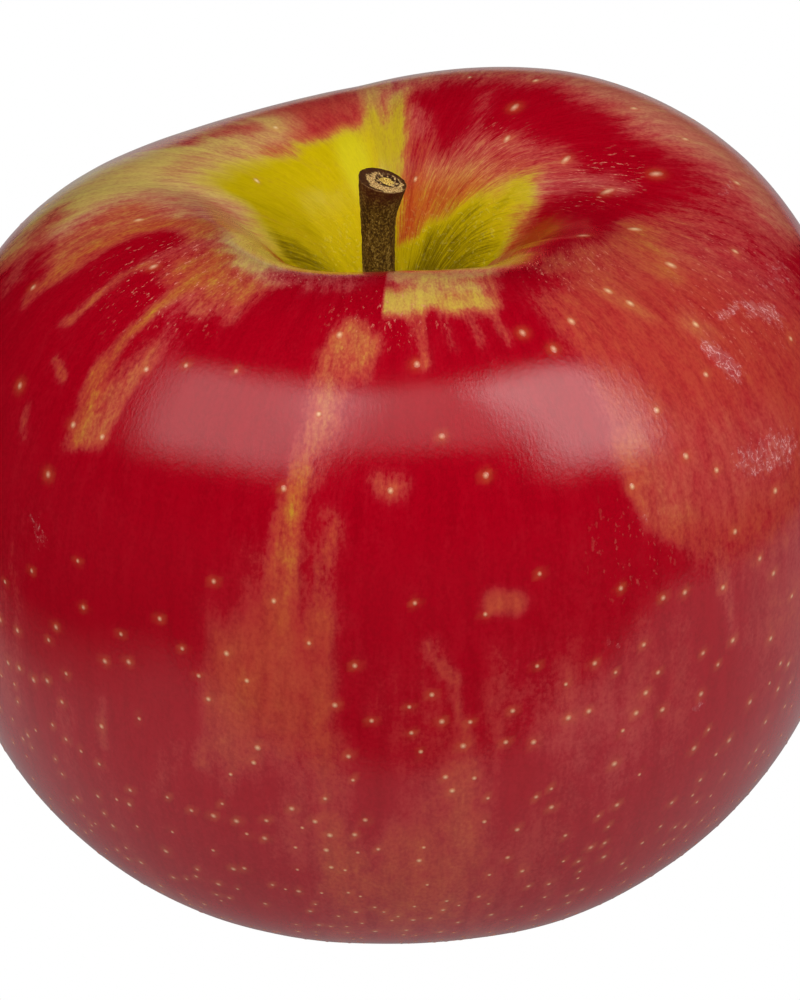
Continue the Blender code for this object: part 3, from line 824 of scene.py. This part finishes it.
skinLook = dict(
    # ramps from unripe to ripe: warm colours, and faded ones for the paler streaks and for the painted
    # sheen near the rims. Ripeness 0 has its place at 0.2 on them and ripeness 1 at 1.0.
    warm=((0.0, (104, 84, 0)), (0.20, (184, 160, 4)), (0.31, (180, 146, 30)), (0.44, (176, 112, 40)),
          (0.56, (174, 84, 42)), (0.70, (170, 60, 42)), (0.84, (161, 36, 38)), (0.92, (155, 10, 26)),
          (1.0, (153, 0, 20))),
    fadedAndSheen=((0.0, (110, 90, 20)), (0.20, (208, 182, 100)), (0.44, (194, 140, 96)), (0.60, (186, 104, 84)),
           (0.76, (174, 62, 64)), (0.92, (158, 16, 34)), (1.0, (153, 0, 20))),
    rampScale=0.8, rampStart=0.2,
    # how much each noise shifts the ripeness, and the strength of that where the colour turns,
    # everywhere, and in the fine lines of the hollow
    unrest=dict(strands=0.26, hairs=0.15, grain=0.50, patches=0.60, broad=0.24),
    turningUnrest=3.3, evenUnrest=0.35, lineUnrest=0.45,
    shade=(150, 130, 120), shadeGrain=0.6, shadeStrands=0.4, shadeFade=(0.40, 0.66, 0.0, 0.22),
    hollowTint=(249, 248, 160), tintShare=0.9,
    # painted light: the colour of the brighter spot on the hollow's wall, and how much of it
    lit=(212, 210, 44), litShare=0.30,
    # painted glints on the tips of the pimples: their colour and share; then the pimples' size and outline,
    # also used for their bump
    pimpleGlint=(224, 212, 120), pimpleGlintShare=0.07, pimplesPerMm=2.6, pimpleFade=(0.58, 0.70),
    glow=(196, 112, 62), glowShare=0.34,
    dot=(226, 200, 140), dotOnRed=(208, 150, 122), dotShare=0.85,
    speck=(212, 132, 112), speckShare=0.75, speckFade=(0.60, 0.69),
    scuff=(214, 152, 150), scuffTear=1.8, scuffFade=(1.35, 1.85), lineWidth=0.040,
    scuffShare=0.14, lineShare=0.70,
    # roughness of the smooth skin, and what the grain, the scuffs and the stem hollow add to it
    roughness=0.085, grainRoughness=0.06, scuffRoughness=0.12, hollowRoughness=0.685,
    hollowShine=(255, 226, 60),
    hairRelief=0.3, lineRelief=1.2, pimpleRelief=1.5, bump=(0.32, 0.05),
)
# what changes towards the stem: mm along the meridian where it begins and where it is complete
hollowFades = dict(lines=(26.0, 16.0), tint=(22.0, 16.0), shine=(23.0, 17.0), pimples=(21.0, 14.0),
                   rough=(21.0, 11.0))
# noises that stretch along the streaks: bumps per mm (two across, one along), detail, roughness, shift
skinNoises = dict(
    broad=((0.22, 0.22, 0.03), 2.0),
    strands=((1.0, 1.0, 0.13), 3.0, 0.55),
    hairs=((3.4, 3.4, 0.9), 2.0, 0.5),
    grain=((2.8, 2.8, 2.3), 4.0, 0.6),
    patches=((0.7, 0.7, 0.5), 3.0, 0.55),
    crumbs=((1.8, 1.8, 1.2), 3.0, 0.65, (7.0, 3.0, 5.0)),
    torn=((1.3, 1.3, 1.3), 4.0, 0.65, (1.0, 9.0, 4.0)),
    cracks=((1.5, 1.5, 1.1), 2.0, 0.5, (2.0, 8.0, 1.0)),
)


def makeSkinMaterial():
    look = skinLook
    material, tree, shader = newMaterial("apple skin")
    streak = readAttribute(tree, "streak", "Vector")
    arc = addNode(tree, "ShaderNodeSeparateXYZ", {0: streak}).outputs[2]
    noise = {name: noiseOn(tree, streak, *settings) for name, settings in skinNoises.items()}
    inHollow = {name: rescale(tree, arc, *arcs) for name, arcs in hollowFades.items()}
    grain = noise["grain"]
    # the colour is restless where it turns from yellow to red, and calm where it is fully ripe
    ripe = readAttribute(tree, "ripe")
    unripe = calculate(tree, "SUBTRACT", 1.0, ripe)
    turning = calculate(tree, "MAXIMUM", times(tree, ripe, unripe), 0.0)
    restless = timesPlus(tree, turning, look["turningUnrest"], look["evenUnrest"])
    # inside the hollow fine lines run down towards the stem
    lines = times(tree, inHollow["lines"], calculate(tree, "MULTIPLY", unripe, 3.0, clamp=True))
    restless = timesPlus(tree, lines, look["lineUnrest"], restless)
    unrest = -0.5 * sum(look["unrest"].values())  # each noise lies round one half
    for name, weight in look["unrest"].items():
        unrest = timesPlus(tree, noise[name], weight, unrest)
    unrest = times(tree, unrest, readAttribute(tree, "mottled"))
    ripeness = timesPlus(tree, unrest, restless, ripe)
    ripeness = timesPlus(tree, ripeness, look["rampScale"], look["rampStart"], clamp=True)
    warm, fadedAndSheen = (colourRamp(tree, ripeness, look[name]) for name in ("warm", "fadedAndSheen"))
    colour = mixColour(tree, readAttribute(tree, "pale"), warm, fadedAndSheen)
    # the red is a little darker in fine grains and long strands
    darker = timesPlus(tree, grain, look["shadeGrain"], times(tree, noise["strands"], look["shadeStrands"]))
    colour = mixColour(tree, rescale(tree, darker, *look["shadeFade"]), colour, look["shade"], "MULTIPLY")
    # deep in the hollow every colour is warmer
    colour = mixColour(tree, times(tree, inHollow["tint"], look["tintShare"]), colour, look["hollowTint"],
                       "MULTIPLY")
    # painted light: a brighter spot on the wall of the hollow, and painted glints on the tips of the fine
    # pimples deep in it
    lit = times(tree, readAttribute(tree, "bright"), look["litShare"])
    colour = mixColour(tree, lit, colour, look["lit"])
    pimples = noiseOn(tree, objectPlace(tree), (look["pimplesPerMm"] / mm,) * 3, 1.0)
    pimples = times(tree, rescale(tree, pimples, *look["pimpleFade"]), inHollow["pimples"])
    # painted glints: the pale tips of the pimples
    colour = mixColour(tree, times(tree, pimples, look["pimpleGlintShare"]), colour, look["pimpleGlint"])
    # a warm glow round each dot, then the dot itself
    halo = times(tree, readAttribute(tree, "halo"), look["glowShare"])
    colour = mixColour(tree, halo, colour, look["glow"])
    spot = times(tree, readAttribute(tree, "spot"), look["dotShare"])
    colour = mixColour(tree, spot, colour, mixColour(tree, ripe, look["dot"], look["dotOnRed"]))
    # tiny specks, and dull scratched places with a broken outline
    crumbs = rescale(tree, noise["crumbs"], *look["speckFade"])
    crumbs = times(tree, crumbs, readAttribute(tree, "speckle"))
    colour = mixColour(tree, times(tree, crumbs, look["speckShare"]), colour, look["speck"])
    scuff = timesPlus(tree, noise["torn"], look["scuffTear"], readAttribute(tree, "scuff"))
    scuff = rescale(tree, scuff, *look["scuffFade"])
    fromLine = calculate(tree, "ABSOLUTE", calculate(tree, "SUBTRACT", noise["cracks"], 0.5))
    scratches = times(tree, scuff, rescale(tree, fromLine, look["lineWidth"], 0.0))
    dulled = times(tree, scuff, look["scuffShare"])
    dulled = timesPlus(tree, scratches, look["lineShare"], dulled, clamp=True)
    colour = mixColour(tree, dulled, colour, look["scuff"])
    tree.links.new(colour, shader.inputs["Base Color"])
    rough = timesPlus(tree, grain, look["grainRoughness"], look["roughness"])
    rough = timesPlus(tree, scuff, look["scuffRoughness"], rough)
    rough = timesPlus(tree, inHollow["rough"], look["hollowRoughness"], rough)
    tree.links.new(rough, shader.inputs["Roughness"])
    # in the hollow the shine takes on the yellow of the walls
    shine = mixColour(tree, inHollow["shine"], (255, 255, 255), look["hollowShine"])
    tree.links.new(shine, shader.inputs["Specular Tint"])
    shader.inputs["IOR"].default_value = 1.5
    height = timesPlus(tree, noise["hairs"], look["hairRelief"], grain)
    height = timesPlus(tree, scratches, look["lineRelief"], height)
    height = timesPlus(tree, pimples, look["pimpleRelief"], height)
    addBump(tree, shader, height, *look["bump"])
    return material


skinMaterial = makeSkinMaterial()
makeSkin(skinMaterial)
makeDots(skinMaterial)


stemShape = dict(
    # height above the socket floor, sideways place, radius
    path=((0.3, 0.0, 1.40), (3.0, -0.1, 1.40), (7.0, -1.2, 1.42), (12.0, -1.79, 1.47), (15.5, -1.83, 1.53),
          (17.8, -1.82, 1.64), (19.6, -1.68, 1.93), (21.25, -1.48, 2.18), (24.5, -1.1, 2.70)),
    length=21.25, cutSlant=14.0, cutCentre=-1.50, cutReach=5.5,
    start=0.3, smoothEnd=3.0, columns=128, rows=190,
    # furrows and a fine net in the bark: height in mm, bumps per radian, bumps per mm, seed
    bark=((0.05, 5.0, 0.25, 31), (0.03, 11.0, 0.6, 32), (0.035, 7.0, 3.5, 33)),
    # on the cut end, as shares of its radius: the pale wood, and the pith with a dark ring round it
    wood=((0.13, -0.12), 0.76), pith=((0.19, 0.14), 0.44), capRings=20, capShares=(0.985, 0.05),
    barkRise=0.10, barkFade=(0.90, 1.08), woodHeight=-0.05, groove=(0.15, 0.86, 0.22),
    capNoise=((0.07, 4.0, 34), (0.03, 9.0, 35)),  # height in mm, bumps per mm, seed
    capNoiseShift=9.0, edgeRise=0.04, edgeFade=(0.9, 1.0),
    grainRadius=1.5,
)


def smoothPath(rows, heights):
    # a cubic through the rows: each stretch starts and ends with the slope of its neighbours
    rows = np.array(rows)
    slopes = np.gradient(rows[:, 1:], rows[:, 0], axis=0)
    index = np.clip(np.searchsorted(rows[:, 0], heights) - 1, 0, len(rows) - 2)
    low, high = rows[index], rows[index + 1]
    span = (high[:, 0] - low[:, 0])[:, None]
    t = ((heights - low[:, 0]) / span[:, 0])[:, None]
    start = (1 + 2 * t) * (1 - t) ** 2 * low[:, 1:] + t * (1 - t) ** 2 * span * slopes[index]
    return start + t**2 * (3 - 2 * t) * high[:, 1:] + t**2 * (t - 1) * span * slopes[index + 1]


def cutRise(share, x, y, acrossX, acrossY):
    # the relief of the cut end: a bark rim, the wood a little below it and a worn groove round the pith
    shape = stemShape
    fromWood, fromPith = (np.hypot(acrossX - centreX, acrossY - centreY) / size
                          for (centreX, centreY), size in (shape["wood"], shape["pith"]))
    deep, place, width = shape["groove"]
    rise = shape["barkRise"] * smoothStep(fromWood, *shape["barkFade"]) + shape["woodHeight"]
    rise = rise - deep * np.exp(-(((fromPith - place) / width) ** 2))
    shift = shape["capNoiseShift"]
    for height, perMm, seed in shape["capNoise"]:
        rise = rise + height * softNoise(x * perMm + shift, y * perMm + shift, 0.0 * x, seed)
    edge = smoothStep(share, *shape["edgeFade"])
    return rise * (1.0 - edge) + shape["edgeRise"] * edge


def makeStem(material):
    # a round section carried up the path; its rings tilt towards the slanted cut near the top
    shape = stemShape
    heights = np.linspace(shape["start"], shape["length"], shape["rows"])
    height = heights[:, None]
    sideways, radius = smoothPath(shape["path"], heights).T[:, :, None]
    theta = roundGrid(shape["columns"])[None, :]
    bark = roundNoise(theta, height, *shape["bark"])
    radius = radius + bark * smoothStep(height, shape["start"], shape["smoothEnd"])
    x = sideways + radius * np.cos(theta)
    slope = math.tan(math.radians(shape["cutSlant"]))
    tilt = smoothStep(height, shape["length"] - shape["cutReach"], shape["length"])
    z = stemFloor + height - tilt * slope * (x - shape["cutCentre"])
    side = np.stack([x, radius * np.sin(theta), z], axis=-1)

    share = np.linspace(*shape["capShares"], shape["capRings"])[:, None]
    acrossX, acrossY = share * np.cos(theta), share * np.sin(theta)
    capX = sideways[-1] + radius[-1] * acrossX
    capY = radius[-1] * acrossY
    rise = cutRise(share, capX, capY, acrossX, acrossY)
    capZ = stemFloor + shape["length"] + rise - slope * (capX - shape["cutCentre"])
    cap = np.stack([capX, capY, capZ], axis=-1)
    rings = np.concatenate([side, cap])
    startPole = [sideways[0, 0], 0.0, stemFloor + shape["start"]]
    mesh = closedTube("stem_bark", rings, startPole, cap[-1].mean(axis=0))

    columns = shape["columns"]
    sides, caps = len(side) * columns, len(cap) * columns
    cutPlace = np.stack([acrossX, acrossY, 0.0 * acrossX], axis=-1).reshape(-1, 3)
    cutPlace = np.concatenate([np.zeros((sides, 3)), cutPlace, np.zeros((2, 3))])
    onCut = np.concatenate([np.zeros(sides), np.ones(caps), [0.0, 1.0]])
    stemHeight = np.concatenate([np.repeat(heights, columns), np.full(caps + 2, shape["length"])])
    ringTheta = np.broadcast_to(theta, rings.shape[:2])
    grain = np.stack([shape["grainRadius"] * np.cos(ringTheta), shape["grainRadius"] * np.sin(ringTheta),
                      rings[..., 2] - stemFloor], axis=-1).reshape(-1, 3)
    grain = np.concatenate([grain, [[0.0, 0.0, 0.0], [0.0, 0.0, shape["length"]]]])
    setAttributes(mesh, cutPlace=cutPlace, onCut=onCut, stemHeight=stemHeight, grain=grain)
    addPiece("stem_bark", mesh, material, "bark", "stem")


barkLook = dict(
    bark=((0.0, (48, 26, 2)), (0.36, (76, 49, 4)), (0.55, (94, 66, 10)), (0.75, (118, 88, 24)),
          (1.0, (156, 126, 60))),
    netShare=0.8, streakShare=0.28, barkFade=(0.38, 0.70),
    collar=(74, 22, 6), collarFade=(2.6, 0.3), collarShare=0.7,  # mm below the cut
    wood=((0.0, (92, 58, 26)), (0.4, (158, 120, 70)), (1.0, (212, 176, 112))),
    pith=((0.0, (64, 32, 4)), (0.4, (184, 144, 56)), (1.0, (226, 192, 100))),
    speckFade=(0.34, 0.62),
    ring=(46, 18, 2), gapFade=(0.40, 0.50, 0.15, 1.0),
    rim=(50, 26, 6), rimShare=0.6,
    # distances in sizes of the pith and of the wood
    ringFade=(1.30, 1.08), pithFade=(0.72, 0.60), rimFade=(0.94, 1.06), wobbleShare=0.9,
    roughness=0.8, specular=0.2, speckRelief=0.5, bump=(0.6, 0.12),
)
# noises of the stem: bumps per mm on the bark, or per radius on the cut end, detail, roughness, shift
barkNoises = dict(net=((6.0, 6.0, 4.6), 4.0, 0.7), streaks=((2.2, 2.2, 0.35), 3.0))
cutNoises = dict(specks=((14.0, 14.0, 1.0), 3.0, 0.6), wobble=((2.6, 2.6, 1.0), 3.0, 0.6, (3.0, 1.0, 0.0)),
                 gaps=((5.0, 5.0, 1.0), 2.0, 0.5, (5.0, 2.0, 0.0)))


def placeDistance(tree, place, centre, size, uneven):
    # distance from a centre, in units of a size, made uneven by a noise
    between = {0: place, 1: (*centre, 0.0)}
    moved = addNode(tree, "ShaderNodeVectorMath", between, operation="SUBTRACT").outputs[0]
    away = addNode(tree, "ShaderNodeVectorMath", {0: moved}, operation="LENGTH").outputs["Value"]
    return timesPlus(tree, away, 1.0 / size, uneven)


def makeBarkMaterial():
    look = barkLook
    material, tree, shader = newMaterial("stem bark")
    grain, cutPlace = (readAttribute(tree, name, "Vector") for name in ("grain", "cutPlace"))
    net, streaks = (noiseOn(tree, grain, *settings) for settings in barkNoises.values())
    specks, wobble, gaps = (noiseOn(tree, cutPlace, *settings) for settings in cutNoises.values())
    value = timesPlus(tree, net, look["netShare"], times(tree, streaks, look["streakShare"]))
    bark = colourRamp(tree, rescale(tree, value, *look["barkFade"]), look["bark"])
    collarStart, collarEnd = (stemShape["length"] - below for below in look["collarFade"])
    collar = rescale(tree, readAttribute(tree, "stemHeight"), collarStart, collarEnd)
    bark = mixColour(tree, times(tree, collar, look["collarShare"]), bark, look["collar"])
    # the cut end: pale wood with fine specks, a broken dark ring round the pith, and a bark rim
    uneven = timesPlus(tree, wobble, look["wobbleShare"], -0.5 * look["wobbleShare"])
    fromPith, fromWood = (placeDistance(tree, cutPlace, *stemShape[name], uneven)
                          for name in ("pith", "wood"))
    fine = rescale(tree, specks, *look["speckFade"])
    colour = colourRamp(tree, fine, look["wood"])
    broken = rescale(tree, gaps, *look["gapFade"])
    ring = times(tree, rescale(tree, fromPith, *look["ringFade"]), broken)
    colour = mixColour(tree, ring, colour, look["ring"])
    inPith = rescale(tree, fromPith, *look["pithFade"])
    colour = mixColour(tree, inPith, colour, colourRamp(tree, fine, look["pith"]))
    rim = mixColour(tree, look["rimShare"], bark, look["rim"])
    colour = mixColour(tree, rescale(tree, fromWood, *look["rimFade"]), colour, rim)
    colour = mixColour(tree, readAttribute(tree, "onCut"), bark, colour)
    tree.links.new(colour, shader.inputs["Base Color"])
    shader.inputs["Roughness"].default_value = look["roughness"]
    shader.inputs["Specular IOR Level"].default_value = look["specular"]
    addBump(tree, shader, timesPlus(tree, specks, look["speckRelief"], net), *look["bump"])
    return material


makeStem(makeBarkMaterial())


# the dried leaves and stamens in the calyx basin
sepalShape = dict(
    count=5, startRadius=2.4, startHeight=7.69, firstDirection=90.0,
    drop=3.2, dropCurl=0.12, spread=2.4, cup=0.18, wave=(0.08, 9.0),
    halfWidth=1.15, tipNarrowing=0.93, thickness=0.30, tipThinning=0.6, columns=44, rows=44,
    wrinkle=(0.07, 2.0, 1.0), wrinkleAcross=2.0, wrinkleAlong=6.0, firstSeed=40, step=0.01,
)


def sepalSheet(along, side, number):
    # the leaf's middle surface: it starts upright and curls out to its tip; side runs from -1 to 1
    shape = sepalShape
    layer = (*shape["wrinkle"], shape["firstSeed"] + number)
    wrinkles = roundNoise(shape["wrinkleAcross"] * side, shape["wrinkleAlong"] * along, layer)
    reach = shape["startRadius"] + shape["spread"] * along**2
    reach = reach + shape["cup"] * side**2 * (1.0 - along) + wrinkles
    halfWidth = shape["halfWidth"] * (1.0 - shape["tipNarrowing"] * np.maximum(along, 0.0) ** 1.5)
    middle = shape["firstDirection"] + 360.0 * (number + 0.5) / shape["count"]
    angle = math.radians(middle) + side * halfWidth / reach
    height = shape["startHeight"] - shape["drop"] * (along - shape["dropCurl"] * along**2)
    waveHeight, waves = shape["wave"]
    height = height + waveHeight * np.cos(waves * side) * (1.0 - along)
    return np.stack([reach * np.cos(angle), reach * np.sin(angle), height + 0.0 * angle], axis=-1)


def makeSepal(number, material):
    shape = sepalShape
    turn = roundGrid(shape["columns"])[None, :]
    along = np.linspace(0.0, 1.0, shape["rows"])[:, None]
    side = np.cos(turn) + 0.0 * along
    step = shape["step"]
    across = sepalSheet(along, side + step, number) - sepalSheet(along, side - step, number)
    lengthwise = sepalSheet(along + step, side, number) - sepalSheet(along - step, side, number)
    normal = unit(np.cross(across, lengthwise))
    half = 0.5 * shape["thickness"] * np.sin(turn) * (1.0 - shape["tipThinning"] * along)
    rings = sepalSheet(along, side, number) + normal * half[..., None]
    name = f"sepal_{number + 1}_leaf"
    mesh = closedTube(name, rings, rings[0].mean(axis=0), rings[-1].mean(axis=0))
    addPiece(name, mesh, material, "dry_sepal", f"sepal_{number + 1}")


stamenShape = dict(
    count=26, top=7.55, bottom=5.0, shortest=0.55, spread=1.08, gather=0.35, bend=0.5,
    radius=0.13, thinning=0.5, swelling=0.9, swellArea=(0.8, 0.95), poleRise=0.02, poleDrop=0.08,
    segments=6, rows=10, seed=7,
)


def makeStamens(material):
    # thin tubes hanging from a ring in the calyx, each bending its own way to a swollen end
    shape = stamenShape
    count = shape["count"]
    draw = np.random.default_rng(shape["seed"])
    direction = draw.random(count) * wholeTurn
    reach = shape["spread"] * np.sqrt(draw.random(count))
    bend = draw.uniform(-shape["bend"], shape["bend"], (count, 2))
    length = (shape["top"] - shape["bottom"]) * draw.uniform(shape["shortest"], 1.0, count)
    along = np.linspace(0.0, 1.0, shape["rows"])[None, :, None]
    turn = roundGrid(shape["segments"])[None, None, :]
    swelling = shape["swelling"] * smoothStep(along, *shape["swellArea"])
    radius = shape["radius"] * (1.0 - shape["thinning"] * along + swelling)
    start = (reach * np.stack([np.cos(direction), np.sin(direction)]))[:, :, None, None]
    centre = start * (1.0 - shape["gather"] * along) + bend.T[:, :, None, None] * along**2
    x, y = centre + radius * np.stack([np.cos(turn), np.sin(turn)])
    z = shape["top"] - length[:, None, None] * along + 0.0 * turn
    rings = np.stack([x, y, z], axis=-1)
    startPole = rings[:, 0].mean(axis=1) + [0.0, 0.0, shape["poleRise"]]
    endPole = rings[:, -1].mean(axis=1) - [0.0, 0.0, shape["poleDrop"]]
    mesh = closedTube("stamens", rings, startPole, endPole, count)
    addPiece("stamens", mesh, material, "withered_stamens", "stamen_tuft")


dryLook = dict(
    # darkest and lightest colour, and bumps per mm
    sepal=((58, 40, 20), (132, 108, 72), 3.0),
    stamens=((34, 24, 14), (96, 74, 46), 5.0),
    lengthwise=0.4, detail=4.0, noiseRoughness=0.6, fade=(0.3, 0.7), roughness=0.9, bump=(0.5, 0.1),
)


def makeDryMaterial(name, dark, light, perMm):
    look = dryLook
    material, tree, shader = newMaterial(name)
    stretch = (perMm / mm, perMm / mm, look["lengthwise"] * perMm / mm)
    grain = noiseOn(tree, objectPlace(tree), stretch, look["detail"], look["noiseRoughness"])
    colour = colourRamp(tree, rescale(tree, grain, *look["fade"]), ((0.0, dark), (1.0, light)))
    tree.links.new(colour, shader.inputs["Base Color"])
    shader.inputs["Roughness"].default_value = look["roughness"]
    addBump(tree, shader, grain, *look["bump"])
    return material


sepalMaterial = makeDryMaterial("dry sepal", *dryLook["sepal"])
for number in range(sepalShape["count"]):
    makeSepal(number, sepalMaterial)
makeStamens(makeDryMaterial("withered stamens", *dryLook["stamens"]))


stageLook = dict(
    # size of the floor and limits of its lit part, in m
    floorSize=6.0, litLeft=(-0.105, -0.070), litRight=(0.120, 0.155),
    litFront=(-0.090, -0.074), litBack=(0.50, 0.90),
    dimNear=(0.030, 0.058), dimShare=0.6,  # reflections of the table are dimmer close to the fruit
    # strength of the table and of the room in reflections, and as soft light
    tableShine=0.38, tableGlow=0.95, roomShine=0.0, roomGlow=0.10,
)
white = (1.0, 1.0, 1.0, 1.0)


def byRay(tree, seen, shine, glow):
    # one strength for what the camera sees, one for reflections and one for soft light
    path = addNode(tree, "ShaderNodeLightPath")
    strength = glow
    for ray, value in (("Is Glossy Ray", shine), ("Is Camera Ray", seen)):
        strength = addNode(tree, "ShaderNodeMix", {0: path.outputs[ray], 2: strength, 3: value}).outputs[0]
    return strength


def makeFloor():
    # a white light table, bright to the eye; reflections show only its lit part, round the fruit
    look = stageLook
    half = look["floorSize"] / 2.0
    corners = [(-half, -half, 0.0), (half, -half, 0.0), (half, half, 0.0), (-half, half, 0.0)]
    mesh = bpy.data.meshes.new("floor")
    mesh.from_pydata(corners, [], [(0, 1, 2, 3)])
    material = bpy.data.materials.new("light table")
    material.use_nodes = True
    tree = material.node_tree
    tree.nodes.clear()
    place = objectPlace(tree)
    sideways, forward = addNode(tree, "ShaderNodeSeparateXYZ", {0: place}).outputs[:2]
    reach = addNode(tree, "ShaderNodeVectorMath", {0: place}, operation="LENGTH").outputs["Value"]
    shine = look["tableShine"]
    for value, limits in ((sideways, look["litLeft"]), (sideways, look["litRight"][::-1]),
                          (forward, look["litFront"]), (forward, look["litBack"][::-1]),
                          (reach, (*look["dimNear"], look["dimShare"], 1.0))):
        shine = times(tree, shine, rescale(tree, value, *limits))
    strength = byRay(tree, 1.0, shine, look["tableGlow"])
    glow = addNode(tree, "ShaderNodeEmission", {"Color": white, "Strength": strength})
    addNode(tree, "ShaderNodeOutputMaterial", {0: glow.outputs[0]})
    mesh.materials.append(material)
    floor = bpy.data.objects.new("floor", mesh)
    scene.collection.objects.link(floor)


def makeWorld():
    world = bpy.data.worlds.new("studio")
    world.use_nodes = True
    tree = world.node_tree
    tree.nodes.clear()
    strength = byRay(tree, 1.0, stageLook["roomShine"], stageLook["roomGlow"])
    back = addNode(tree, "ShaderNodeBackground", {"Color": white, "Strength": strength})
    addNode(tree, "ShaderNodeOutputWorld", {0: back.outputs[0]})
    scene.world = world


# each lamp: bearing from the front towards the right, elevation and roll, in degrees; apparent width
# and height, in degrees; brightness, where 1 is white; distance in m; whether reflections show it
lamps = dict(
    left=(-56.0, 43.5, 16.0, 59.0, 54.0, 1.95, 0.5, True),
    right=(59.5, 43.5, -14.0, 44.0, 61.0, 3.7, 0.5, True),
    middle=(2.0, 55.0, 0.0, 66.0, 44.0, 0.95, 0.6, True),
    fill=(-12.0, 62.0, 0.0, 40.0, 40.0, 5.3, 0.6, False),
)
softRim = 0.28  # share of a lamp's width over which it fades out at each edge
litPoint = (0.0, 0.0, 0.045)


def makeLamp(name, bearing, elevation, roll, width, height, brightness, distance, reflected):
    lamp = bpy.data.lights.new(name, "AREA")
    lamp.shape = "RECTANGLE"
    lamp.size, lamp.size_y = (2.0 * distance * math.tan(math.radians(angle / 2.0))
                              for angle in (width, height))
    lamp.energy = brightness * math.pi * lamp.size * lamp.size_y
    lamp.use_nodes = True
    tree = lamp.node_tree
    place = addNode(tree, "ShaderNodeNewGeometry").outputs["Parametric"]
    sides = addNode(tree, "ShaderNodeSeparateXYZ", {0: place}).outputs[:2]
    fades = [rescale(tree, calculate(tree, "PINGPONG", side, 0.5), 0.0, softRim) for side in sides]
    tree.links.new(times(tree, *fades), tree.nodes["Emission"].inputs["Strength"])
    bearing, elevation, roll = (math.radians(angle) for angle in (bearing, elevation, roll))
    away = np.array([math.sin(bearing) * math.cos(elevation), -math.cos(bearing) * math.cos(elevation),
                     math.sin(elevation)])
    turned = Matrix()
    for angle, axis in ((bearing, "Z"), (math.pi / 2.0 - elevation, "X"), (roll, "Z")):
        turned = turned @ Matrix.Rotation(angle, 4, axis)
    holder = bpy.data.objects.new(name, lamp)
    holder.location = (np.array(litPoint) + distance * away).tolist()
    holder.rotation_euler = turned.to_euler()
    holder.visible_camera = False
    holder.visible_glossy = reflected
    scene.collection.objects.link(holder)


# where the camera looks and how far away it is, in m; degrees above the floor; mm of lens and sensor
view = dict(target=(0.00015, 0.0, 0.03661), distance=0.6, elevation=32.0, lens=230.5, sensor=36.0,
            clip=(0.05, 20.0))


def makeCamera():
    camera = bpy.data.cameras.new("camera")
    camera.lens = view["lens"]
    camera.sensor_width = view["sensor"]
    camera.clip_start, camera.clip_end = view["clip"]
    elevation = math.radians(view["elevation"])
    away = np.array([0.0, -math.cos(elevation), math.sin(elevation)]) * view["distance"]
    holder = bpy.data.objects.new("camera", camera)
    holder.location = (np.array(view["target"]) + away).tolist()
    holder.rotation_euler = (math.pi / 2.0 - elevation, 0.0, 0.0)
    scene.collection.objects.link(holder)
    scene.camera = holder


makeFloor()
makeWorld()
for lampName, settings in lamps.items():
    makeLamp(lampName, *settings)
makeCamera()
scene.view_settings.view_transform = "Standard"
print("floor, lights and camera made")
